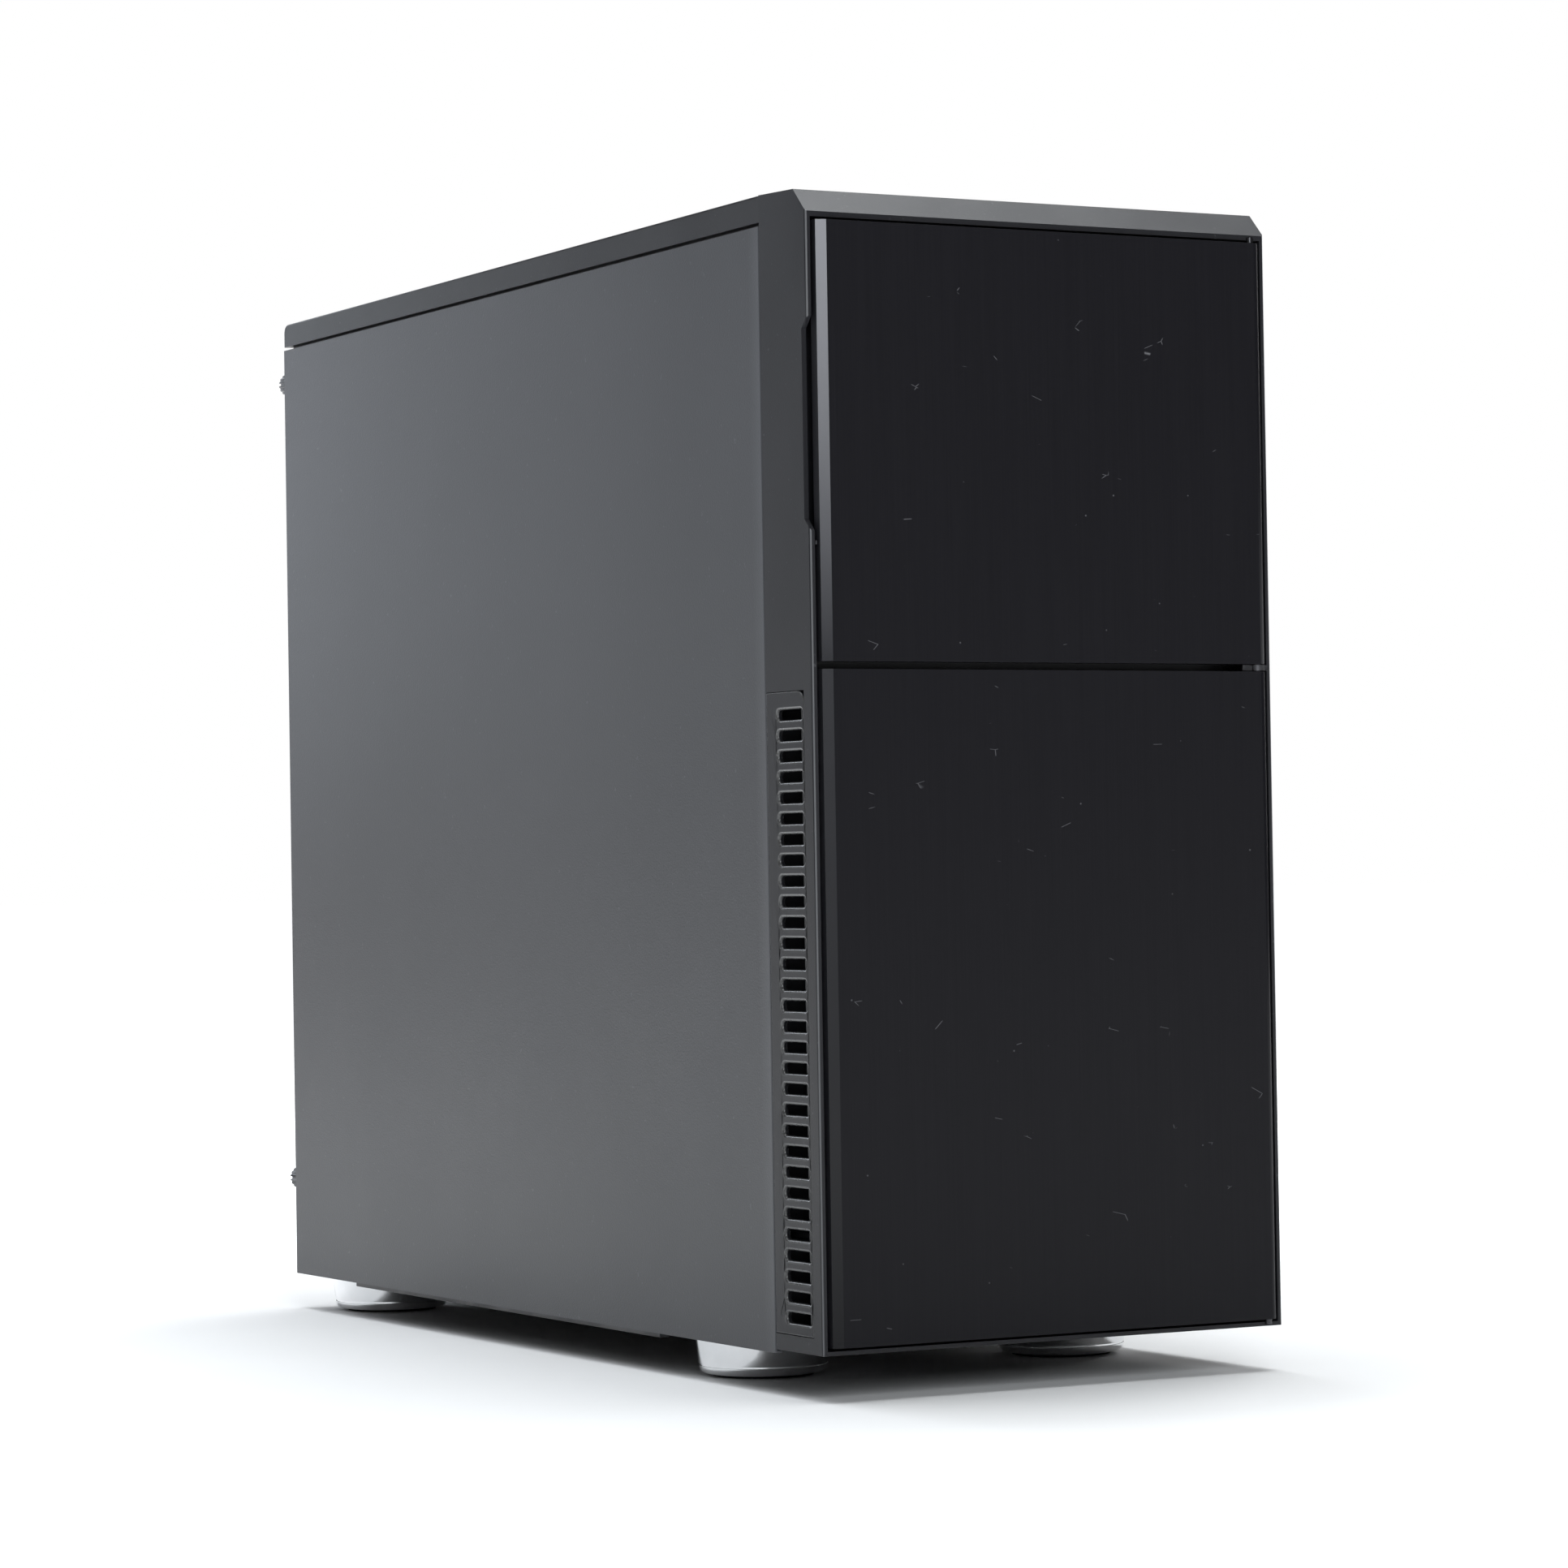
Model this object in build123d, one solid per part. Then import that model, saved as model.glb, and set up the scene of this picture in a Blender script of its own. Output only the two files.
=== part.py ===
"""Desktop computer tower: a steel mid-tower case with two front doors and the parts inside it.

Row frame: origin at the middle of the footprint, on the floor. The front faces -Y, the rear
faces +Y and +Z is up. All sizes are in millimetres.
"""
from build123d import *
from math import cos, radians, sin
import os

os.makedirs("parts", exist_ok=True)

# ---------------------------------------------------------------- driving dimensions
WIDTH = 207.0            # over the two side panels
HEIGHT = 459.0           # floor to the top cover
DEPTH = 522.0            # door faces to thumbscrew heads
FOOT_HEIGHT = 16.0       # floor to the lower edge of the side panels
BEZEL_DEPTH = 37.0       # bezel frame, front plane to the seam with the side panels
DOOR_PROUD = 3.0         # door faces stand this far in front of the bezel frame
SCREW_PROUD = 9.0        # thumbscrew heads behind the side panels
SHEET = 0.8              # sheet steel
WALL = 2.0               # moulded walls
SEAM_GAP = 0.2           # visible joint lines between moulded pieces

HALF = WIDTH / 2
DOOR_FACE_Y = -DEPTH / 2
FRAME_Y = DOOR_FACE_Y + DOOR_PROUD
SEAM_Y = FRAME_Y + BEZEL_DEPTH
REAR_Y = DEPTH / 2 - SCREW_PROUD

# bezel frame
BEZEL_BOTTOM = FOOT_HEIGHT + 1.6
SLOPE_DEPTH = 9.4        # sloped top edge, along Y
SLOPE_DROP = 9.3         # and along Z
TOP_FALL = 1.1           # the bezel top falls this much from the seam to the slope
POCKET_DEPTH = 12.0      # front plane to the inner plate behind the doors
INNER_PLATE = 2.0
INNER_Y = FRAME_Y + POCKET_DEPTH
PLENUM_Y = INNER_Y + INNER_PLATE

# doors
DOOR_LEFT = -HALF + 3.45
DOOR_TOP = 445.3
DOOR_SPLIT_TOP = 278.65  # lower edge of the upper door
DOOR_SPLIT_BOTTOM = 275.75
DOOR_BOTTOM = 20.45
DOOR_THICK = 6.0
SKIN_THICK = 1.5
BEVEL_WIDTH = 4.0
HINGE_X = 96.9
HINGE_Y = FRAME_Y
HINGE_ROUND = DOOR_THICK / 2
PIN_R = 1.5
PIN_CLEARANCE = 0.05
BORE_DEPTH = 8.0

# side ventilation strips
VENT_Y = (FRAME_Y + 7.2, SEAM_Y)
VENT_Z = (24.0, 268.0)
VENT_THICK = 2.4
SLOT_COUNT = 30
SLOT_PITCH = 7.89
SLOT_LENGTH = 20.4
SLOT_HEIGHT = 4.0
SLOT_FIRST_Z = 30.4
SLOT_Y = FRAME_Y + 18.6

# finger recess in the left bezel wall
RECESS_Z = (328.0, 409.0)
RECESS_DEPTH = 4.3
RECESS_SLANT = 4.5

# top cover and side panels
COVER_BOTTOM = 448.6
PANEL_TOP = 447.1
PANEL_GAP = 0.6          # side panels behind the bezel seam
PANEL_HEM = 3.0
PANEL_FLANGE = 10.5
CHASSIS_X = 101.8        # outer faces of the chassis flanges
PAN_BOTTOM = 17.2
PAN_TOP = PAN_BOTTOM + SHEET
ROOF_Z = 444.6
RAIL_X = (96.2, 100.2)    # edge rails under the pan
RAIL_BOTTOM = 13.8
REAR_WALL_Y = 250.0      # inner face of the rear panel
THUMB_X = 97.0
THUMB_Z = (60.0, 432.0)

# feet
FOOT_X = 69.5
FOOT_Y = (-146.0, 220.0)
FOOT_TOP_R = 27.5
FOOT_LOW_R = 25.5
PAD_THICK = 1.0

# drive bays
BAY_HALF = 74.0
BAY_Z = (283.0, 411.0)
BAY_PITCH = 42.67
WALL_SPLIT_Z = 279.0     # the front wall's fan sheet ends and its bay sheet starts here
CAGE_Y = (-190.0, -85.0)
CAGE_Z = (25.0, 262.0)
CAGE_HALF = 78.0
TRAY_COUNT = 6
TRAY_PITCH = 38.0
TRAY_FIRST_Z = 31.0
LOADED_TRAYS = (1, 3)

# fans
FAN = 120.0
FAN_DEPTH = 25.0
FRONT_FAN_Z = (90.0, 212.0)
FRONT_FAN_Y = SEAM_Y + SHEET + 0.4
REAR_FAN_X = -36.0
REAR_FAN_Z = 360.0
REAR_FAN_Y = REAR_WALL_Y - FAN_DEPTH - 0.2
FAN_SHAFT_R = 3.0
FAN_HOLES = (-52.5, 52.5)  # screw holes of a 120 mm fan, from its middle
FAN_OPENING_R = 58.0

# motherboard
TRAY_X = 80.0
BOARD_X = (71.8, 73.4)
BOARD_Y = (4.0, 248.0)
BOARD_Z = (118.0, 423.0)
CPU_Y = 150.0
CPU_Z = 345.0
MEMORY_Y = (62.0, 72.0, 82.0, 92.0)
MEMORY_Z = (275.0, 408.0)
SLOT_TOP_Z = 247.0       # first expansion slot
EXPANSION_PITCH = 20.32
EXPANSION_COUNT = 7
IO_X = (27.0, 71.5)
IO_Z = (264.0, 423.0)

# power supply
PSU_X = (-73.0, 77.0)
PSU_Y = (110.0, 249.8)
PSU_Z = (PAN_TOP, PAN_TOP + 86.0)
PSU_FAN = (2.0, 180.0)
SWITCH_X = 30.0
SWITCH_Z = 40.0
INLET_X = 56.0

# controls behind the upper door
CONTROL_Z = (413.5, 444.0)
CONTROL_MID = 428.5
POWER_X = 72.0
RESET_X = 50.0
BUTTON_PROUD = 2.4


# ---------------------------------------------------------------- helpers
def block(x, y, z):
    """A box from three (low, high) pairs."""
    size = Box(x[1] - x[0], y[1] - y[0], z[1] - z[0])
    return Pos((x[0] + x[1]) / 2, (y[0] + y[1]) / 2, (z[0] + z[1]) / 2) * size


def around(x, y, z, dx, dy, dz):
    """A box from its centre and sizes."""
    return Pos(x, y, z) * Box(dx, dy, dz)


TURN = {"X": Rot(0, 90, 0), "Y": Rot(-90, 0, 0), "Z": Rot(0, 0, 0)}


def rod(start, radius, length, axis="Z"):
    """A cylinder that runs from a point along +X, +Y or +Z."""
    base = Pos(0, 0, length / 2) * Cylinder(radius, length)
    return Pos(*start) * TURN[axis] * base


def prism_x(points, x):
    """A (y, z) outline, extruded from x[0] to x[1]."""
    face = make_face(Polyline(*[(x[0], y, z) for y, z in points], close=True))
    return extrude(face, amount=x[1] - x[0], dir=(1, 0, 0))


def prism_z(points, z):
    """An (x, y) outline, extruded from z[0] to z[1]."""
    face = make_face(Polyline(*[(x, y, z[0]) for x, y in points], close=True))
    return extrude(face, amount=z[1] - z[0], dir=(0, 0, 1))


def fuse(pieces):
    """One solid from pieces that meet."""
    whole = pieces[0]
    for piece in pieces[1:]:
        whole = whole + piece
    return whole


def cut(base, tools):
    """The base with every tool taken away in one step."""
    return base - list(tools)


def mirror_x(shape):
    return mirror(shape, about=Plane.YZ)


def save(shape, name):
    """Write one node; a group of pieces is written as its separate solids."""
    pieces = shape if isinstance(shape, list) else [shape]
    solids = [solid for piece in pieces for solid in piece.solids()]
    whole = solids[0] if len(solids) == 1 else Compound(children=solids)
    export_step(whole, f"parts/{name}.step")


# ---------------------------------------------------------------- front bezel
def bezel_outline():
    """The outer (y, z) outline of the bezel, with its sloped top edge."""
    slope_y = FRAME_Y + SLOPE_DEPTH
    slope_z = HEIGHT - TOP_FALL
    front_top = slope_z - SLOPE_DROP
    return [(FRAME_Y, BEZEL_BOTTOM), (FRAME_Y, front_top), (slope_y, slope_z),
            (SEAM_Y, HEIGHT), (SEAM_Y, BEZEL_BOTTOM)]


def front_bezel():
    shell = prism_x(bezel_outline(), (-HALF, HALF))
    corners = shell.edges().filter_by(Axis.Z).filter_by_position(Axis.Y, FRAME_Y - 1, FRAME_Y + 1)
    shell = fillet(corners, 1.0)
    inner = HALF - WALL
    pocket_top = HEIGHT - TOP_FALL - SLOPE_DROP - WALL
    pocket = block((-inner, inner), (FRAME_Y - 1, INNER_Y), (BEZEL_BOTTOM + 1.6, pocket_top))
    plenum = block((-inner, inner), (PLENUM_Y, SEAM_Y + 1), (BEZEL_BOTTOM + WALL, HEIGHT - 4))
    tools = [pocket, plenum, bay_window(), recess_cut()]
    tools += [block((-63, 63), (INNER_Y - 1, PLENUM_Y + 1), (z - 57, z + 57)) for z in FRONT_FAN_Z]
    for side in (-1, 1):
        x = sorted((side * (HALF + 1), side * (HALF - VENT_THICK - SEAM_GAP)))
        tools.append(block(x, (VENT_Y[0] - SEAM_GAP, VENT_Y[1] + 1),
                           (VENT_Z[0] - SEAM_GAP, VENT_Z[1] + SEAM_GAP)))
    tools += [rod((x, INNER_Y - 1, CONTROL_MID), r + 0.3, 6, "Y")
              for x, r in ((POWER_X, 7), (RESET_X, 3.5))]
    tools.append(block((-74, -16), (INNER_Y - 1, PLENUM_Y + 1), (CONTROL_MID - 5, CONTROL_MID + 5)))
    tools += [rod((HINGE_X, HINGE_Y, z), PIN_R, 1.0) for z in (pocket_top, BEZEL_BOTTOM + 0.6)]
    shell = cut(shell, tools)
    return fuse([shell] + bezel_clips())


def bay_window():
    return block((-BAY_HALF, BAY_HALF), (INNER_Y - 1, PLENUM_Y + 1), BAY_Z)


def recess_cut():
    low, high = RECESS_Z
    back = FRAME_Y + RECESS_DEPTH
    points = [(FRAME_Y - 1, low - 1), (back, low + RECESS_SLANT),
              (back, high - RECESS_SLANT), (FRAME_Y - 1, high + 1)]
    return prism_x(points, (-HALF - 1, -HALF + WALL + 1))


def bezel_clips():
    """Six snap hooks that reach through the chassis front wall."""
    hooks = []
    for z in (60.0, 300.0, 430.0):
        for side in (-1, 1):
            x = sorted((side * 88.0, side * 96.0))
            arm = block(x, (PLENUM_Y - 1, SEAM_Y + 6), (z, z + 2))
            barb = block(x, (SEAM_Y + 2.5, SEAM_Y + 6), (z + 2, z + 3.5))
            hooks.append(arm + barb)
    return hooks


def side_vent():
    """The left strip: a plate with rounded slots, each with a bevelled rim."""
    (y0, y1), (z0, z1) = VENT_Y, VENT_Z
    plate = block((-HALF, -HALF + VENT_THICK), (y0, y1), (z0, z1))
    corner = plate.edges().filter_by(Axis.X).group_by(Axis.Z)[-1].sort_by(Axis.Y)[0]
    plate = fillet(corner, 5.0)
    face = Plane(origin=(-HALF, SLOT_Y, 0), x_dir=(0, 1, 0), z_dir=(-1, 0, 0))
    tools = []
    for i in range(SLOT_COUNT):
        centre = (-HALF, SLOT_Y, SLOT_FIRST_Z + i * SLOT_PITCH)
        plane = Plane(origin=centre, x_dir=face.x_dir, z_dir=face.z_dir)
        through = plane * SlotOverall(SLOT_LENGTH, SLOT_HEIGHT)
        tools.append(extrude(through, amount=4, both=True))
        rim = plane * SlotOverall(SLOT_LENGTH + 1.2, SLOT_HEIGHT + 1.2)
        tools.append(extrude(rim, amount=-0.6, taper=45))
    return cut(plate, tools)


# ---------------------------------------------------------------- doors
def door_outline(y_front, y_back):
    """The (x, y) outline of a door layer, round at its hinge edge."""
    disc = Pos(HINGE_X, HINGE_Y) * Circle(HINGE_ROUND)
    middle = ((DOOR_LEFT + HINGE_X) / 2, (DOOR_FACE_Y + DOOR_FACE_Y + DOOR_THICK) / 2)
    slab = Pos(*middle) * Rectangle(HINGE_X - DOOR_LEFT, DOOR_THICK)
    band = Pos(0, (y_front + y_back) / 2) * Rectangle(WIDTH, y_back - y_front)
    return (disc + slab) & band


def door_bores(z):
    """The two pin bores of a door that spans z."""
    radius = PIN_R + PIN_CLEARANCE
    return [rod((HINGE_X, HINGE_Y, z[0] - 1), radius, BORE_DEPTH + 1),
            rod((HINGE_X, HINGE_Y, z[1] - BORE_DEPTH), radius, BORE_DEPTH + 1)]


def door_skin(z):
    """Brushed face sheet with a wide bevel down its left edge."""
    sheet = Pos(0, 0, z[0]) * extrude(door_outline(DOOR_FACE_Y, DOOR_FACE_Y + SKIN_THICK),
                                      amount=z[1] - z[0])
    bevel = prism_z([(DOOR_LEFT - 1, DOOR_FACE_Y - 0.01), (DOOR_LEFT + BEVEL_WIDTH, DOOR_FACE_Y - 0.01),
                     (DOOR_LEFT, DOOR_FACE_Y + SKIN_THICK), (DOOR_LEFT - 1, DOOR_FACE_Y + SKIN_THICK)],
                    (z[0] - 1, z[1] + 1))
    return sheet - bevel


def door_core(z):
    """Moulded door behind the skin: a plate with a stiffened back and two hinge bores."""
    front = DOOR_FACE_Y + SKIN_THICK
    back = DOOR_FACE_Y + DOOR_THICK
    core = Pos(0, 0, z[0]) * extrude(door_outline(front, back), amount=z[1] - z[0])
    hollow = block((DOOR_LEFT + 8, HINGE_X - 12), (back - 2.0, back + 1), (z[0] + 8, z[1] - 8))
    ribs = [block((DOOR_LEFT + 7, HINGE_X - 11), (back - 2.5, back), (h - 1, h + 1))
            for h in (z[0] + (z[1] - z[0]) * k / 4 for k in (1, 2, 3))]
    core = fuse([cut(core, [hollow] + door_bores(z))] + ribs)
    return core


def hinge_bracket():
    """Bracket plate between the doors with a pin both ways, and a pin at the top and bottom."""
    z0 = DOOR_SPLIT_BOTTOM + 0.35
    z1 = DOOR_SPLIT_TOP - 0.35
    arm = block((89.5, HALF - WALL), (HINGE_Y - 1, INNER_Y), (z0, z1))
    nose = rod((HINGE_X, HINGE_Y, z0), 3.0, z1 - z0)
    reach = BORE_DEPTH - 1.0
    pin = rod((HINGE_X, HINGE_Y, DOOR_SPLIT_BOTTOM - reach), PIN_R,
              DOOR_SPLIT_TOP - DOOR_SPLIT_BOTTOM + 2 * reach)
    pocket_top = HEIGHT - TOP_FALL - SLOPE_DROP - WALL
    top_pin = rod((HINGE_X, HINGE_Y, DOOR_TOP - reach), PIN_R, pocket_top + 1 - DOOR_TOP + reach)
    low_pin = rod((HINGE_X, HINGE_Y, BEZEL_BOTTOM + 0.6), PIN_R, DOOR_BOTTOM + reach - BEZEL_BOTTOM - 0.6)
    return [fuse([arm, nose, pin]), top_pin, low_pin]


# ---------------------------------------------------------------- behind the doors
def bay_covers():
    """Blank covers for the two lower bays."""
    covers = []
    for i in (0, 1):
        z0 = BAY_Z[0] + i * BAY_PITCH + 0.4
        z1 = z0 + BAY_PITCH - 0.8
        face = block((-BAY_HALF + 0.3, BAY_HALF - 0.3), (INNER_Y - 2, INNER_Y + 12), (z0, z1))
        inside = block((-BAY_HALF + 2.3, BAY_HALF - 2.3), (INNER_Y + 0.2, INNER_Y + 13), (z0 + 2, z1 - 2))
        groove = block((-40, 40), (INNER_Y - 3, INNER_Y - 1.2), (z0 + 4, z0 + 6))
        covers.append(cut(face, [inside, groove]))
    return covers


def optical_drive():
    """A 5.25 inch drive in the top bay: steel body and a moulded front."""
    z0 = BAY_Z[0] + 2 * BAY_PITCH + 0.5
    z1 = z0 + 41.0
    outer = block((-73, 73), (INNER_Y + 3, -75), (z0, z1))
    inner = block((-72, 72), (INNER_Y + 4, -76), (z0 + 1, z1 - 1))
    front = block((-73.5, 73.5), (INNER_Y - 2, INNER_Y + 3), (z0, z1))
    tray_line = block((-66, 66), (INNER_Y - 3, INNER_Y - 1.2), (z1 - 16, z1 - 15.3))
    tray_floor = block((-66, 66), (INNER_Y - 3, INNER_Y - 1.2), (z1 - 6, z1 - 5.3))
    return [outer - inner, cut(front, [tray_line, tray_floor])]


def control_panel():
    """Moulded strip above the bays, with holes for the buttons and sockets."""
    plate = block((-92, 92), (INNER_Y - 2.5, INNER_Y), CONTROL_Z)
    rim = plate.edges().filter_by(Axis.Y)
    plate = fillet(rim, 2.5)
    tools = [rod((x, INNER_Y - 3, CONTROL_MID), r + 0.3, 4, "Y") for x, r in ((POWER_X, 7), (RESET_X, 3.5))]
    tools += [around(x, INNER_Y - 1, CONTROL_MID, 14.2, 6, 6.8) for x in (-66, -46)]
    tools += [rod((x, INNER_Y - 3, CONTROL_MID), 3.2, 4, "Y") for x in (-30, -20)]
    tools += [rod((x, INNER_Y - 3, CONTROL_MID), 1.6, 4, "Y") for x in (20, 30)]
    return cut(plate, tools)


def front_ports():
    """Two USB sockets and two audio jacks on one small circuit board."""
    face_y = INNER_Y - 2.5
    board = block((-76, 12), (face_y + 18.1, face_y + 19.7), (CONTROL_MID - 8, CONTROL_MID + 8))
    pieces = [board]
    for x in (-66, -46):
        shell = block((x - 6.8, x + 6.8), (face_y, face_y + 18.1), (CONTROL_MID - 3.2, CONTROL_MID + 3.2))
        hole = block((x - 6.3, x + 6.3), (face_y - 1, face_y + 12), (CONTROL_MID - 2.6, CONTROL_MID + 2.6))
        pieces.append(shell - hole)
    for x in (-30, -20):
        barrel = rod((x, face_y, CONTROL_MID), 3.0, 18.1, "Y")
        pieces.append(barrel - rod((x, face_y - 1, CONTROL_MID), 1.75, 14, "Y"))
    return [fuse(pieces)]


def indicator_lights():
    return [rod((x, INNER_Y - 3.0, CONTROL_MID), 1.5, 3.0, "Y") for x in (20, 30)]


def push_button(x, radius):
    """A domed cap on a stem, with a flange that keeps it behind the inner plate."""
    front = INNER_Y - 2.5 - BUTTON_PROUD
    cap = rod((x, front, CONTROL_MID), radius, PLENUM_Y + 0.3 - front, "Y")
    edge = cap.edges().filter_by(GeomType.CIRCLE).sort_by(Axis.Y)[0]
    cap = fillet(edge, 0.8)
    flange = rod((x, PLENUM_Y + 0.3, CONTROL_MID), radius + 1.5, 1.2, "Y")
    return cap + flange


def front_filters():
    """Two lift-out intake filters: a rim and close vertical bars."""
    filters = []
    for z in FRONT_FAN_Z:
        rim = block((-66, 66), (INNER_Y - 4, INNER_Y), (z - 60, z + 60))
        rim = rim - block((-61, 61), (INNER_Y - 5, INNER_Y + 1), (z - 55, z + 55))
        bars = [block((x - 0.5, x + 0.5), (INNER_Y - 3, INNER_Y - 1), (z - 55.5, z + 55.5))
                for x in (-55 + 5.5 * i for i in range(21))]
        cross = [block((-61.5, 61.5), (INNER_Y - 2, INNER_Y - 1), (z + k - 0.5, z + k + 0.5))
                 for k in (-33, -11, 11, 33)]
        filters.append(fuse([rim] + bars + cross))
    return filters


# ---------------------------------------------------------------- chassis
def bottom_pan():
    """Floor of the case with turned-up sides, dark edge rails and guides for the dust filter."""
    y0, y1 = SEAM_Y + SHEET, REAR_WALL_Y
    floor = block((-CHASSIS_X, CHASSIS_X), (y0, y1), (PAN_BOTTOM, PAN_TOP))
    floor = floor - rod((PSU_FAN[0], PSU_FAN[1], PAN_BOTTOM - 1), 36, 4)
    pieces = [floor]
    for side in (-1, 1):
        edge = sorted((side * CHASSIS_X, side * (CHASSIS_X - SHEET)))
        pieces.append(block(edge, (y0, y1), (PAN_TOP - 0.1, PAN_TOP + 14)))
        rail = sorted((side * RAIL_X[0], side * RAIL_X[1]))
        pieces.append(block(rail, (-116, 190), (RAIL_BOTTOM, PAN_BOTTOM + 0.1)))
        web = sorted((side * 39.2, side * 40.2))
        lip = sorted((side * 36.5, side * 40.2))
        pieces.append(block(web, (98, y1), (12.4, PAN_BOTTOM + 0.1)))
        pieces.append(block(lip, (98, y1), (12.4, 13.2)))
    return fuse(pieces)


def screw_holes():
    """Side panel screw positions: (side, z)."""
    return [(side, z) for side in (-1, 1) for z in THUMB_Z]


def hex_vent(x0, z0, radius, y):
    """Hexagon holes of a stamped fan vent."""
    tools = []
    pitch = 6.6
    for row in range(-9, 10):
        for col in range(-9, 10):
            x = (col + 0.5 * (row % 2)) * pitch
            z = row * pitch * 0.866
            if x * x + z * z < (radius - 3) ** 2:
                hexagon = Plane(origin=(x0 + x, y, z0 + z), x_dir=(1, 0, 0), z_dir=(0, -1, 0))
                tools.append(extrude(hexagon * RegularPolygon(3.0, 6), amount=3, both=True))
    return tools


def rear_panel():
    """Rear wall with the fan vent, port opening, slot openings and power supply opening."""
    y = (REAR_WALL_Y, REAR_WALL_Y + SHEET)
    wall = block((-CHASSIS_X, CHASSIS_X), y, (PAN_BOTTOM, ROOF_Z + SHEET))
    through = (y[0] - 2, y[1] + 2)
    tools = hex_vent(REAR_FAN_X, REAR_FAN_Z, FAN_OPENING_R, REAR_WALL_Y)
    tools.append(block(IO_X, through, IO_Z))
    tools.append(block((PSU_X[0] + 4, PSU_X[1] - 4), through, (PSU_Z[0] + 4, PSU_Z[1] - 4)))
    for i in range(EXPANSION_COUNT):
        z = SLOT_TOP_Z - i * EXPANSION_PITCH
        tools.append(block((-42, 62), through, (z - 6.4, z + 6.4)))
    for side, z in screw_holes():
        tools.append(rod((side * THUMB_X, y[0] - 1, z), 1.9, 4, "Y"))
    for dx in FAN_HOLES:
        for dz in FAN_HOLES:
            tools.append(rod((REAR_FAN_X + dx, y[0] - 1, REAR_FAN_Z + dz), 2.2, 4, "Y"))
    wall = cut(wall, tools)
    edges = [block(sorted((side * CHASSIS_X, side * (CHASSIS_X - SHEET))), (y[0] - 14, y[0] + 0.1),
                   (PAN_TOP + 15, ROOF_Z - 1)) for side in (-1, 1)]
    return fuse([wall] + edges)


def front_wall():
    """Chassis front: a fan wall below a bay wall, each with turned-back sides."""
    y = (SEAM_Y, SEAM_Y + SHEET)
    through = (y[0] - 1, y[1] + 1)
    tools = [rod((0, y[0] - 1, z), FAN_OPENING_R, 4, "Y") for z in FRONT_FAN_Z]
    tools.append(block((-BAY_HALF, BAY_HALF), through, BAY_Z))
    tools.append(block((-16, 16), through, (CONTROL_MID - 7, CONTROL_MID + 7)))
    for z in (60.0, 300.0, 430.0):
        for side in (-1, 1):
            tools.append(block(sorted((side * 87.0, side * 97.0)), through, (z - 0.5, z + 4.5)))
    for z in FRONT_FAN_Z:
        tools += [rod((dx, y[0] - 1, z + dz), 2.2, 4, "Y") for dx in FAN_HOLES for dz in FAN_HOLES]
    walls = []
    for wall_z, side_z in (((PAN_BOTTOM, WALL_SPLIT_Z), (PAN_TOP + 15, WALL_SPLIT_Z)),
                           ((WALL_SPLIT_Z, ROOF_Z + SHEET), (WALL_SPLIT_Z, ROOF_Z - 1))):
        wall = cut(block((-CHASSIS_X, CHASSIS_X), y, wall_z), tools)
        sides = [block(sorted((side * CHASSIS_X, side * (CHASSIS_X - SHEET))),
                       (y[1] - 0.1, y[1] + 14), side_z) for side in (-1, 1)]
        walls.append(fuse([wall] + sides))
    return walls


def roof_panel():
    y0, y1 = SEAM_Y + SHEET, REAR_WALL_Y
    roof = block((-CHASSIS_X, CHASSIS_X), (y0, y1), (ROOF_Z, ROOF_Z + SHEET))
    edges = [block(sorted((side * CHASSIS_X, side * (CHASSIS_X - SHEET))), (y0 + 16, y1 - 16),
                   (ROOF_Z - 12, ROOF_Z + 0.1)) for side in (-1, 1)]
    return fuse([roof] + edges)


def motherboard_tray():
    """Tray with cable openings and a service opening behind the processor."""
    plate = block((TRAY_X, TRAY_X + SHEET), (-40, REAR_WALL_Y), (PAN_TOP, ROOF_Z))
    tools = [block((TRAY_X - 1, TRAY_X + 2), (-30, -8), (z, z + 50)) for z in (135, 245, 350)]
    tools.append(block((TRAY_X - 1, TRAY_X + 2), (CPU_Y - 45, CPU_Y + 45), (CPU_Z - 40, CPU_Z + 40)))
    tools.append(block((TRAY_X - 1, TRAY_X + 2), (40, 90), (PAN_TOP + 20, PAN_TOP + 70)))
    tools.append(block((TRAY_X - 1, TRAY_X + 2), (200, 236), (412, 441)))
    plate = cut(plate, tools)
    flange = block((TRAY_X, CHASSIS_X - 2), (-40, -40 + SHEET), (PAN_TOP + 20, ROOF_Z - 14))
    flange = flange - block((TRAY_X + 3, CHASSIS_X - 4), (-42, -38), (118, 170))
    return plate + flange


def board_standoffs():
    """Brass standoffs between the tray and the motherboard."""
    return [rod((BOARD_X[1], y, z), 2.5, TRAY_X - BOARD_X[1], "X")
            for y in (14, 110, 238) for z in (124, 262, 415)]


def cable_grommets():
    """Rubber rims in the tray's three front cable openings."""
    rims = []
    for z in (135, 245, 350):
        outer = block((TRAY_X + SHEET, TRAY_X + SHEET + 2), (-33, -5), (z - 3, z + 53))
        inner = block((TRAY_X, TRAY_X + 4), (-28, -10), (z + 2, z + 48))
        rims.append(outer - inner)
    return rims


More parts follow.
